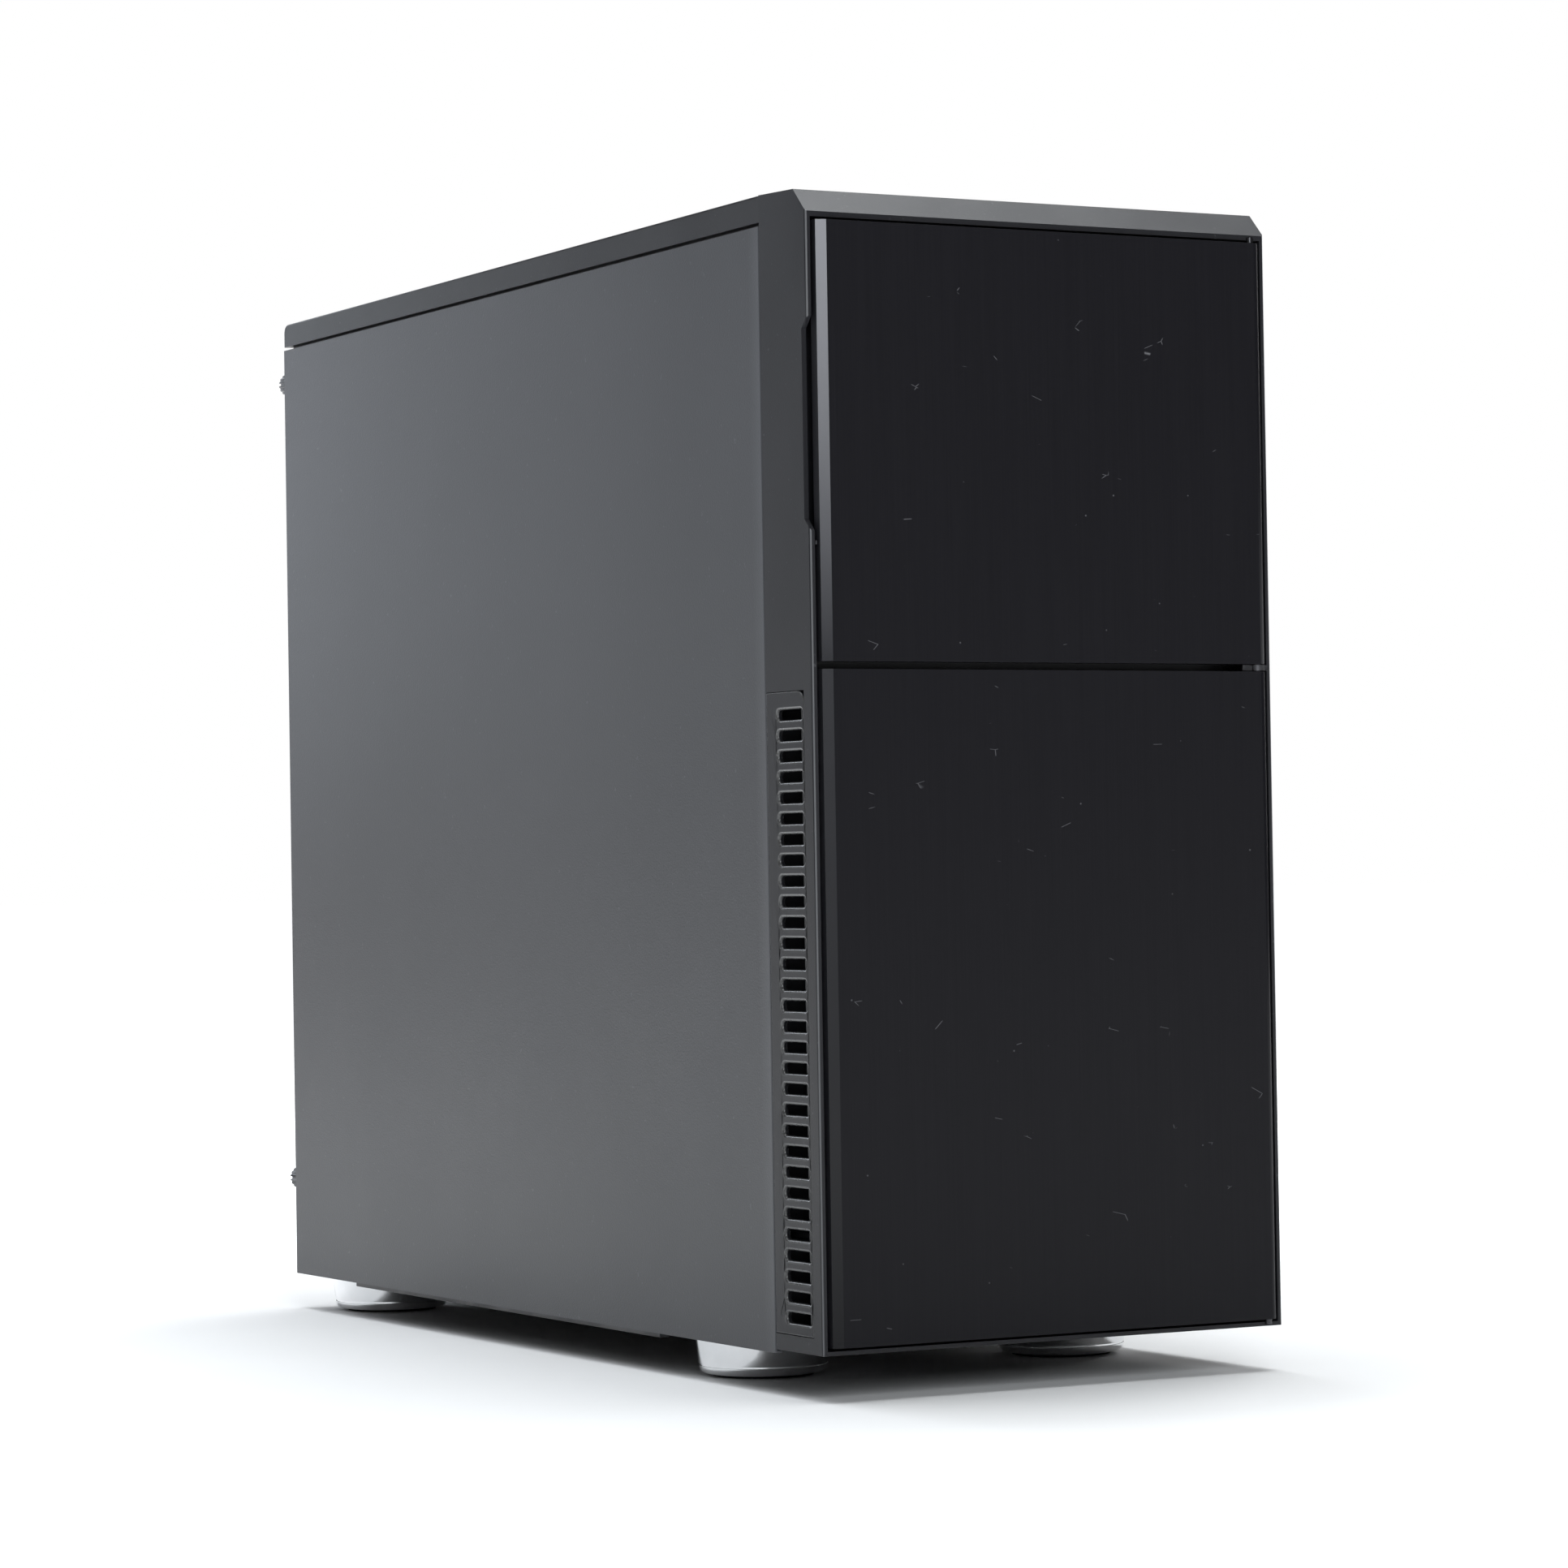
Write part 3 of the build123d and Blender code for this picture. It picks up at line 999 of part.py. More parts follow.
NODES = {
    "front_bezel": front_bezel(),
    "left_vent": left_vent,
    "right_vent": mirror_x(left_vent),
    "upper_door_skin": door_skin(UPPER_Z),
    "upper_door_core": door_core(UPPER_Z),
    "lower_door_skin": door_skin(LOWER_Z),
    "lower_door_core": door_core(LOWER_Z),
    "hinge_brackets": hinge_bracket(),
    "bay_covers": bay_covers(),
    "optical_drive": optical_drive(),
    "control_panel": control_panel(),
    "front_ports": front_ports() + indicator_lights(),
    "power_button": push_button(POWER_X, 7.0),
    "reset_button": push_button(RESET_X, 3.5),
    "front_filters": front_filters(),
    "bottom_pan": bottom_pan(),
    "rear_panel": rear_panel(),
    "front_wall": front_wall(),
    "roof_panel": roof_panel(),
    "motherboard_tray": motherboard_tray(),
    "cable_grommets": cable_grommets(),
    "optical_bay_cage": optical_bay_cage(),
    "drive_cage": drive_cage(),
    "drive_trays": drive_trays(),
    "hard_drives": hard_drives(),
    "top_cover": top_cover(),
    "left_side_panel": left_panel,
    "right_side_panel": mirror_x(left_panel),
    "left_upper_thumbscrew": thumbscrew(-1, THUMB_Z[1]),
    "left_lower_thumbscrew": thumbscrew(-1, THUMB_Z[0]),
    "right_upper_thumbscrew": thumbscrew(1, THUMB_Z[1]),
    "right_lower_thumbscrew": thumbscrew(1, THUMB_Z[0]),
    "case_fan_frames": [place * fan_frame(FAN, FAN_DEPTH) for place in CASE_FAN_PLACES],
    "lower_front_fan_rotor": front_fan_place(FRONT_FAN_Z[0]) * fan_rotor(FAN, FAN_DEPTH),
    "upper_front_fan_rotor": front_fan_place(FRONT_FAN_Z[1]) * fan_rotor(FAN, FAN_DEPTH),
    "rear_fan_rotor": REAR_FAN_PLACE * fan_rotor(FAN, FAN_DEPTH),
    "power_supply_case": power_supply_case(),
    "power_supply_core": [power_supply_core(), PSU_FAN_PLACE * fan_frame(PSU_FAN_SIZE, FAN_DEPTH)],
    "power_supply_fan_rotor": PSU_FAN_PLACE * fan_rotor(PSU_FAN_SIZE, FAN_DEPTH),
    "mains_inlet": [mains_inlet(), switch_frame()],
    "power_supply_switch": rocker_switch(),
    "motherboard": motherboard(),
    "board_sockets": board_sockets(),
    "board_heat_sinks": board_heat_sinks(),
    "cpu_cooler": cpu_cooler(),
    "cpu_fan_frame": CPU_FAN_PLACE * fan_frame(CPU_FAN_SIZE, FAN_DEPTH),
    "cpu_fan_rotor": CPU_FAN_PLACE * fan_rotor(CPU_FAN_SIZE, FAN_DEPTH),
    "memory_modules": memory_modules(),
    "rear_ports": rear_ports(),
    "io_shield": io_shield(),
    "slot_covers": slot_covers(),
    "graphics_card": graphics_card(),
    "graphics_cooler": graphics_cooler(),
    "graphics_fan_rotor": CARD_FAN_PLACE * fan_rotor(CARD_FAN_SIZE, 20.0, blades=9),
    "chrome_feet": [foot_ring(x, y) for x, y in FOOT_PLACES],
    "foot_pads": [foot_pad(x, y) for x, y in FOOT_PLACES],
    "dust_filter": dust_filter(),
    "power_cables": power_cables(),
    "data_cables": data_cables(),
    "fasteners": chassis_screws() + board_standoffs(),
}

for node_name, node_shape in NODES.items():
    save(node_shape, node_name)
print(len(NODES), "nodes")
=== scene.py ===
"""Looks of the desktop computer tower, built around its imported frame. Lengths are in metres."""
from math import cos, pi, radians, sin

import bmesh
import bpy
from mathutils import Matrix, Quaternion, Vector


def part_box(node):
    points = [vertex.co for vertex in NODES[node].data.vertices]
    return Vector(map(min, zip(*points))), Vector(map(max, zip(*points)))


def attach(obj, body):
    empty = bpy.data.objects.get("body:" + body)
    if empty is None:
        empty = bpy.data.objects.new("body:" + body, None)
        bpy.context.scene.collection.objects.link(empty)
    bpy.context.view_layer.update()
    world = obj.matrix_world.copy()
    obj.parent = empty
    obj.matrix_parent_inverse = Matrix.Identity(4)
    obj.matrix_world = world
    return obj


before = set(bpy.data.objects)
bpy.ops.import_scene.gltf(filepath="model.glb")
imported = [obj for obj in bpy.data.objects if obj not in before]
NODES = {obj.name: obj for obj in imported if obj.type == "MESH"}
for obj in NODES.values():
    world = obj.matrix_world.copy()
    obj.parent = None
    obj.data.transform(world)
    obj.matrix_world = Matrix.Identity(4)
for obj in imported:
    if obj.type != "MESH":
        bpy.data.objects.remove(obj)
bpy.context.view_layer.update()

MM = 0.001
SHARP_ANGLE = radians(35)         # edges sharper than this are rounded and shaded as corners
WELD_DISTANCE = 0.001 * MM


def low(node):
    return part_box(node)[0]


def high(node):
    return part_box(node)[1]


# ---------------------------------------------------------------- camera, stage and light
CAMERA_TURN = radians(28.35)      # to the left of straight on
CAMERA_LIFT = radians(1.01)       # above level
CAMERA_ROLL = radians(-0.915)
CAMERA_PLACE = Vector((-0.9853, -1.8685, 0.2003))
LENS = 112.2
SENSOR = 36.0
FLOOR_RADIUS = 40.0
FLOOR_DROP = 0.2 * MM             # keeps the floor clear of the foot pads
GLOW_START, GLOW_END = 0.36, 1.3  # the floor brightens between these distances from the origin
FLOOR_GLOW = 0.97
DARK_SIDE = (0.55, -0.83, 0.0)    # the surround is dimmest towards the front right


def make_camera():
    data = bpy.data.cameras.new("camera")
    data.lens = LENS
    data.sensor_width = SENSOR
    camera = bpy.data.objects.new("camera", data)
    aim = Vector((sin(CAMERA_TURN) * cos(CAMERA_LIFT), cos(CAMERA_TURN) * cos(CAMERA_LIFT),
                  sin(CAMERA_LIFT)))
    camera.rotation_mode = "QUATERNION"
    camera.rotation_quaternion = aim.to_track_quat("-Z", "Y") @ Quaternion((0, 0, 1), CAMERA_ROLL)
    camera.location = CAMERA_PLACE
    bpy.context.scene.collection.objects.link(camera)
    bpy.context.scene.camera = camera


def make_world():
    """A soft white surround that is dimmer towards the front right, like a dark end of a room."""
    world = bpy.data.worlds.new("studio")
    world.use_nodes = True
    bpy.context.scene.world = world
    tree = world.node_tree
    sky = tree.nodes["Background"]
    place = tree.nodes.new("ShaderNodeTexCoord")
    dot = tree.nodes.new("ShaderNodeVectorMath")
    dot.operation = "DOT_PRODUCT"
    dot.inputs[1].default_value = DARK_SIDE
    tree.links.new(place.outputs["Generated"], dot.inputs[0])
    ramp = tree.nodes.new("ShaderNodeMapRange")
    ramp.interpolation_type = "SMOOTHSTEP"
    for key, value in (("From Min", -0.1), ("From Max", 0.55), ("To Min", 0.10), ("To Max", 0.02)):
        ramp.inputs[key].default_value = value
    tree.links.new(dot.outputs["Value"], ramp.inputs["Value"])
    seen = tree.nodes.new("ShaderNodeLightPath")
    mix = tree.nodes.new("ShaderNodeMix")
    mix.data_type = "FLOAT"
    mix.inputs["B"].default_value = 1.0
    tree.links.new(seen.outputs["Is Camera Ray"], mix.inputs["Factor"])
    tree.links.new(ramp.outputs["Result"], mix.inputs["A"])
    tree.links.new(mix.outputs["Result"], sky.inputs["Strength"])
    sky.inputs["Color"].default_value = (1, 1, 1, 1)


def make_light(name, place, target, size, power, color=(1, 1, 1)):
    data = bpy.data.lights.new(name, "AREA")
    data.shape = "RECTANGLE"
    data.size, data.size_y = size
    data.energy = power
    data.color = color
    light = bpy.data.objects.new(name, data)
    light.location = place
    light.rotation_mode = "QUATERNION"
    light.rotation_quaternion = (Vector(target) - Vector(place)).to_track_quat("-Z", "Y")
    light.visible_camera = False
    bpy.context.scene.collection.objects.link(light)


def make_floor():
    mesh = bpy.data.meshes.new("floor")
    shape = bmesh.new()
    bmesh.ops.create_circle(shape, cap_ends=True, radius=FLOOR_RADIUS, segments=96)
    shape.to_mesh(mesh)
    shape.free()
    floor = bpy.data.objects.new("floor", mesh)
    floor.location = (0, 0, -FLOOR_DROP)
    bpy.context.scene.collection.objects.link(floor)
    paint = Finish("floor", (0.9, 0.9, 0.9), 0.85, specular=0.1)
    paint.color_noise(3.0, (0.90, 0.90, 0.90), (0.93, 0.93, 0.93))
    paint.shader.inputs["Emission Color"].default_value = (0.98, 0.99, 1.0, 1)
    away = paint.add("ShaderNodeVectorMath", {0: paint.place()}, operation="LENGTH")
    glow = paint.remap(away.outputs["Value"], GLOW_START, GLOW_END, 0.0, FLOOR_GLOW)
    paint.tree.links.new(glow, paint.shader.inputs["Emission Strength"])
    floor.data.materials.append(paint.material)


# ---------------------------------------------------------------- materials
class Finish:
    """A procedural material: one Principled shader and helpers that wire its patterns."""

    def __init__(self, name, color, roughness, metallic=0.0, specular=0.5, coat=0.0):
        self.material = bpy.data.materials.new(name)
        self.material.use_nodes = True
        self.tree = self.material.node_tree
        self.shader = self.tree.nodes["Principled BSDF"]
        self.shader.inputs["Base Color"].default_value = (*color, 1)
        self.shader.inputs["Roughness"].default_value = roughness
        self.shader.inputs["Metallic"].default_value = metallic
        self.shader.inputs["Specular IOR Level"].default_value = specular
        self.shader.inputs["Coat Weight"].default_value = coat
        self.last_normal = None

    def add(self, kind, values=None, **settings):
        node = self.tree.nodes.new(kind)
        for key, value in settings.items():
            setattr(node, key, value)
        for key, value in (values or {}).items():
            if hasattr(value, "is_output"):
                self.tree.links.new(value, node.inputs[key])
            else:
                node.inputs[key].default_value = value
        return node

    def place(self, stretch=(1, 1, 1)):
        """Object coordinates, which are metres in the row frame."""
        where = self.add("ShaderNodeTexCoord")
        scale = self.add("ShaderNodeVectorMath", {0: where.outputs["Object"], 1: stretch},
                         operation="MULTIPLY")
        return scale.outputs["Vector"]

    def noise(self, scale, detail=2.0, stretch=(1, 1, 1), rough=0.5):
        node = self.add("ShaderNodeTexNoise", {"Vector": self.place(stretch), "Scale": scale,
                                               "Detail": detail, "Roughness": rough})
        return node.outputs["Fac"]

    def cells(self, scale, stretch=(1, 1, 1), feature="F1"):
        node = self.add("ShaderNodeTexVoronoi", {"Vector": self.place(stretch), "Scale": scale,
                                                 "Randomness": 1.0}, feature=feature)
        return node.outputs["Distance"]

    def remap(self, value, start, end, to_start=0.0, to_end=1.0):
        node = self.add("ShaderNodeMapRange", {"Value": value, "From Min": start, "From Max": end,
                                               "To Min": to_start, "To Max": to_end})
        return node.outputs["Result"]

    def math(self, kind, first, second):
        return self.add("ShaderNodeMath", {0: first, 1: second}, operation=kind).outputs["Value"]

    def blend(self, factor, first, second):
        """A colour between two colours or colour outputs."""
        node = self.add("ShaderNodeMix", {"Factor": factor}, data_type="RGBA")
        for key, value in ((6, first), (7, second)):
            if hasattr(value, "is_output"):
                self.tree.links.new(value, node.inputs[key])
            else:
                node.inputs[key].default_value = (*value, 1)
        return node.outputs[2]

    def color(self, output):
        self.tree.links.new(output, self.shader.inputs["Base Color"])

    def roughness(self, output):
        self.tree.links.new(output, self.shader.inputs["Roughness"])

    def color_noise(self, scale, first, second, stretch=(1, 1, 1)):
        mix = self.blend(self.remap(self.noise(scale, 3.0, stretch), 0.35, 0.65), first, second)
        self.color(mix)

    def rough_noise(self, scale, first, second, stretch=(1, 1, 1)):
        self.roughness(self.remap(self.noise(scale, 3.0, stretch), 0.35, 0.65, first, second))

    def bump(self, height, distance, strength=1.0):
        values = {"Height": height, "Distance": distance, "Strength": strength}
        if self.last_normal is not None:
            values["Normal"] = self.last_normal
        node = self.add("ShaderNodeBump", values)
        self.last_normal = node.outputs["Normal"]
        self.tree.links.new(self.last_normal, self.shader.inputs["Normal"])


def powder_paint(front_edge):
    """Side panels: fine grained powder coat with faint smudges, and a painted highlight that lightens
    the colour along the front edge.
    """
    paint = Finish("powder_paint", (0.045, 0.046, 0.05), 0.5, specular=0.5)
    base = paint.blend(paint.remap(paint.noise(5.0, 4.0), 0.35, 0.7), (0.031, 0.032, 0.037),
                       (0.038, 0.039, 0.045))
    dust = paint.remap(paint.noise(420.0, 2.0), 0.70, 0.78)
    specked = paint.blend(paint.math("MULTIPLY", dust, 0.25), base, (0.16, 0.165, 0.18))
    where = paint.add("ShaderNodeSeparateXYZ", {0: paint.place()})
    # painted highlight: the colour lightens over the last 9 mm before the front edge, standing in for
    # light caught by the rounded front edge
    edge = paint.remap(where.outputs["Y"], front_edge + 9 * MM, front_edge + 0.5 * MM, 0.0, 0.45)
    paint.color(paint.blend(edge, specked, (0.085, 0.088, 0.098)))
    paint.rough_noise(9.0, 0.365, 0.395)
    paint.bump(paint.noise(1500.0, 2.0), 0.00012, 0.55)
    return paint.material


def moulded_plastic(name, specular, corner=None):
    """Matt black plastic with a fine spark-eroded grain, with a painted highlight along the front
    corners when a corner is given.
    """
    plastic = Finish(name, (0.014, 0.014, 0.016), 0.36, specular=specular)
    base = plastic.blend(plastic.noise(12.0, 3.0), (0.012, 0.012, 0.014), (0.016, 0.016, 0.019))
    specks = plastic.remap(plastic.noise(650.0, 1.0), 0.74, 0.80)
    shade = plastic.blend(plastic.math("MULTIPLY", specks, 0.3), base, (0.12, 0.12, 0.13))
    if corner is not None:
        # painted highlight: a light line along the front side corners, standing in for light caught by
        # the rounded corner
        where = plastic.add("ShaderNodeSeparateXYZ", {0: plastic.place()})
        near_front = plastic.remap(where.outputs["Y"], corner.y + 0.6 * MM, corner.y + 0.3 * MM)
        off_centre = plastic.math("ABSOLUTE", where.outputs["X"], 0.0)
        near_side = plastic.remap(off_centre, -corner.x - 0.8 * MM, -corner.x - 0.5 * MM)
        painted_corner_highlight = plastic.math("MULTIPLY", near_front, near_side)
        shade = plastic.blend(painted_corner_highlight, shade, (0.11, 0.112, 0.118))
    plastic.color(shade)
    plastic.rough_noise(25.0, 0.34, 0.38)
    plastic.bump(plastic.noise(2200.0, 2.0), 0.00008, 0.5)
    return plastic.material


def painted_edge_highlight(name, tone):
    """Rounded edges in a lighter colour, a painted highlight, and smoother than the grained faces."""
    edge = Finish(name, (tone, tone, tone * 1.04), 0.25, specular=0.6)
    edge.color_noise(60.0, (tone * 0.8,) * 3, (tone * 1.2,) * 3)
    edge.rough_noise(120.0, 0.22, 0.3)
    edge.bump(edge.noise(1200.0, 2.0), 0.00003, 0.3)
    return edge.material


def door_face(name, door_left, bevel_width, strip_top, strip_bottom, highlight_top_color, highlight_bottom_color):
    """Brushed near-black door with lint on it, and a glossy bevelled strip down its left edge coloured
    with a painted highlight that fades from top to bottom.
    """
    face = Finish(name, (0.012, 0.0115, 0.014), 0.36, specular=0.12)
    face.shader.inputs["Anisotropic"].default_value = 0.6
    brushed = face.noise(1.0, 3.0, (2600.0, 2600.0, 14.0), 0.6)
    base = face.blend(face.remap(brushed, 0.35, 0.7), (0.0070, 0.0068, 0.0086), (0.0088, 0.0085, 0.0105))
    grains = face.remap(face.cells(120.0), 0.0, 0.055, 1.0, 0.0)
    sparse = face.remap(face.noise(31.0, 3.0), 0.54, 0.56)
    fibres = face.remap(face.cells(55.0, (1.0, 1.0, 2.2), "DISTANCE_TO_EDGE"), 0.0, 0.012, 1.0, 0.0)
    broken = face.math("MULTIPLY", face.remap(face.noise(95.0, 1.0), 0.71, 0.73), fibres)
    lint = face.math("MAXIMUM", face.math("MULTIPLY", grains, sparse), broken)
    dusty = face.blend(face.math("MULTIPLY", lint, 0.42), base, (0.30, 0.30, 0.32))
    where = face.add("ShaderNodeSeparateXYZ", {0: face.place()})
    strip = face.remap(where.outputs["X"], door_left + bevel_width, door_left + bevel_width - 0.0001)
    height = face.remap(where.outputs["Z"], strip_bottom, strip_top)
    # painted highlight on the strip: its colour fades from the top colour to the bottom colour
    painted_strip_highlight = face.blend(height, highlight_bottom_color, highlight_top_color)
    face.color(face.blend(strip, dusty, painted_strip_highlight))
    rough = face.remap(brushed, 0.3, 0.7, 0.35, 0.39)
    face.roughness(face.math("SUBTRACT", rough, face.math("MULTIPLY", strip, 0.2)))
    face.bump(brushed, 0.00003, 0.15)
    return face.material


def dark_steel():
    """Painted steel of the chassis."""
    steel = Finish("dark_steel", (0.02, 0.02, 0.022), 0.42, specular=0.5)
    steel.color_noise(18.0, (0.017, 0.017, 0.019), (0.026, 0.026, 0.029))
    steel.rough_noise(40.0, 0.36, 0.5)
    steel.bump(steel.noise(900.0, 2.0), 0.00006, 0.4)
    return steel.material


def zinc_steel():
    """Bright zinc plated sheet with its spangle."""
    zinc = Finish("zinc_steel", (0.5, 0.51, 0.52), 0.34, metallic=1.0)
    spangle = zinc.remap(zinc.cells(300.0), 0.0, 0.6)
    zinc.color(zinc.blend(spangle, (0.36, 0.37, 0.385), (0.44, 0.45, 0.46)))
    zinc.rough_noise(130.0, 0.26, 0.42)
    zinc.bump(zinc.noise(700.0, 2.0), 0.00003, 0.3)
    return zinc.material


def chrome_plate():
    """Polished feet with a few wipe marks."""
    chrome = Finish("chrome_plate", (0.86, 0.87, 0.88), 0.07, metallic=1.0)
    chrome.color_noise(60.0, (0.82, 0.83, 0.84), (0.9, 0.9, 0.91))
    chrome.rough_noise(90.0, 0.04, 0.12)
    chrome.bump(chrome.noise(40.0, 2.0), 0.00005, 0.08)
    return chrome.material


def soft_rubber():
    """Matt rubber of the foot pads and grommets."""
    rubber = Finish("soft_rubber", (0.016, 0.016, 0.017), 0.8, specular=0.25)
    rubber.color_noise(90.0, (0.013, 0.013, 0.014), (0.024, 0.024, 0.025))
    rubber.rough_noise(200.0, 0.7, 0.88)
    rubber.bump(rubber.noise(1800.0, 2.0), 0.0001, 0.5)
    return rubber.material


def fan_plastic():
    """Satin plastic of the fans and filters."""
    plastic = Finish("fan_plastic", (0.014, 0.014, 0.015), 0.38, specular=0.45)
    plastic.color_noise(30.0, (0.011, 0.011, 0.012), (0.02, 0.02, 0.022))
    plastic.rough_noise(70.0, 0.3, 0.46)
    plastic.bump(plastic.noise(1300.0, 2.0), 0.00005, 0.35)
    return plastic.material


def circuit_board():
    """Solder mask over fine copper tracks."""
    board = Finish("circuit_board", (0.006, 0.03, 0.022), 0.3)
    tracks = board.add("ShaderNodeTexBrick", {
        "Vector": board.place((1.0, 260.0, 190.0)), "Scale": 1.0, "Mortar Size": 0.09,
        "Color1": (0, 0, 0, 1), "Color2": (0.25, 0.25, 0.25, 1), "Mortar": (1, 1, 1, 1)})
    gate = board.remap(board.noise(45.0, 2.0), 0.45, 0.55)
    pads = board.remap(board.cells(420.0), 0.0, 0.22, 1.0, 0.0)
    mask = board.math("MULTIPLY", tracks.outputs["Fac"], gate)
    base = board.blend(mask, (0.006, 0.03, 0.022), (0.010, 0.055, 0.038))
    dotted = board.math("MULTIPLY", pads, board.remap(board.noise(70.0, 2.0), 0.55, 0.6))
    board.color(board.blend(board.math("MULTIPLY", dotted, 0.7), base, (0.5, 0.42, 0.2)))
    board.rough_noise(120.0, 0.25, 0.4)
    board.bump(mask, 0.00004, 0.5)
    return board.material


def coloured_plastic(name, color, roughness=0.4):
    """Moulded plastic in a plain colour, with slight cloudiness and grain."""
    plastic = Finish(name, color, roughness, specular=0.45)
    darker = tuple(channel * 0.8 for channel in color)
    plastic.color_noise(80.0, darker, color)
    plastic.rough_noise(150.0, roughness * 0.85, roughness * 1.2)
    plastic.bump(plastic.noise(1500.0, 2.0), 0.00004, 0.3)
    return plastic.material


def bare_metal(name, color, roughness=0.3, stretch=(1, 1, 1)):
    """Machined or extruded metal, with grain along one direction if stretched."""
    metal = Finish(name, color, roughness, metallic=1.0)
    darker = tuple(channel * 0.82 for channel in color)
    metal.color_noise(120.0, darker, color, stretch)
    metal.rough_noise(220.0, roughness * 0.75, roughness * 1.3, stretch)
    metal.bump(metal.noise(900.0, 2.0, stretch), 0.00003, 0.3)
    return metal.material


def gloss_black():
    """Glossy lacquered plastic of the controls."""
    gloss = Finish("gloss_black", (0.01, 0.01, 0.012), 0.16, specular=0.5, coat=0.4)
    gloss.color_noise(40.0, (0.008, 0.008, 0.009), (0.015, 0.015, 0.017))
    gloss.rough_noise(60.0, 0.12, 0.24)
    gloss.bump(gloss.noise(500.0, 2.0), 0.00002, 0.2)
    return gloss.material


def card_finish(bracket_front):
    """Graphics card: dark red board, and zinc plated steel from the bracket back."""
    card = Finish("card_board", (0.03, 0.006, 0.007), 0.32)
    where = card.add("ShaderNodeSeparateXYZ", {0: card.place()})
    steel = card.remap(where.outputs["Y"], bracket_front, bracket_front + 0.1 * MM)
    tracks = card.add("ShaderNodeTexBrick", {
        "Vector": card.place((210.0, 160.0, 1.0)), "Scale": 1.0, "Mortar Size": 0.09,
        "Color1": (0, 0, 0, 1), "Color2": (0.25, 0.25, 0.25, 1), "Mortar": (1, 1, 1, 1)})
    mask = card.math("MULTIPLY", tracks.outputs["Fac"],
                     card.remap(card.noise(45.0, 2.0), 0.45, 0.55))
    lacquer = card.blend(mask, (0.02, 0.004, 0.005), (0.04, 0.008, 0.008))
    spangle = card.blend(card.remap(card.cells(300.0), 0.0, 0.6),
                         (0.36, 0.37, 0.385), (0.44, 0.45, 0.46))
    card.color(card.blend(steel, lacquer, spangle))
    card.tree.links.new(steel, card.shader.inputs["Metallic"])
    card.rough_noise(130.0, 0.26, 0.38)
    card.bump(card.noise(700.0, 2.0), 0.00003, 0.3)
    return card.material


def lamp_lens(name, color):
    """Frosted coloured lens of an unlit indicator lamp."""
    lens = Finish(name, color, 0.25, coat=0.5)
    lens.shader.inputs["Transmission Weight"].default_value = 0.35
    lens.color_noise(400.0, tuple(channel * 0.7 for channel in color), color)
    lens.rough_noise(500.0, 0.2, 0.34)
    return lens.material


def drive_body():
    """Optical drive: zinc plated body behind a moulded black front."""
    drive = Finish("optical_drive", (0.5, 0.5, 0.5), 0.4)
    where = drive.add("ShaderNodeSeparateXYZ", {0: drive.place()})
    front = low("bay_covers").y
    body = drive.remap(where.outputs["Y"], front + 5.0 * MM, front + 5.1 * MM)
    spangle = drive.blend(drive.remap(drive.cells(300.0), 0.0, 0.6),
                          (0.45, 0.46, 0.48), (0.56, 0.57, 0.58))
    moulded = drive.blend(drive.noise(14.0, 3.0), (0.018, 0.018, 0.02), (0.026, 0.026, 0.029))
    drive.color(drive.blend(body, moulded, spangle))
    drive.tree.links.new(body, drive.shader.inputs["Metallic"])
    drive.rough_noise(60.0, 0.32, 0.44)
    drive.bump(drive.noise(2000.0, 2.0), 0.00006, 0.4)
    return drive.material


def damping_felt():
    """Sound damping mat: short dark fibres."""
    felt = Finish("damping_felt", (0.02, 0.02, 0.021), 0.95, specular=0.1)
    felt.shader.inputs["Sheen Weight"].default_value = 0.35
    felt.color_noise(700.0, (0.012, 0.012, 0.013), (0.04, 0.04, 0.042))
    felt.bump(felt.noise(1100.0, 4.0), 0.0004, 0.8)
    return felt.material


def braided_sleeve():
    """Cable sleeve with a fine crossed weave."""
    sleeve = Finish("braided_sleeve", (0.015, 0.015, 0.016), 0.6, specular=0.35)
    weave = sleeve.add("ShaderNodeTexChecker", {"Vector": sleeve.place((1, 1, 1)), "Scale": 900.0})
    sleeve.color(sleeve.blend(weave.outputs["Fac"], (0.009, 0.009, 0.01), (0.035, 0.035, 0.038)))
    sleeve.bump(weave.outputs["Fac"], 0.0002, 0.6)
    return sleeve.material


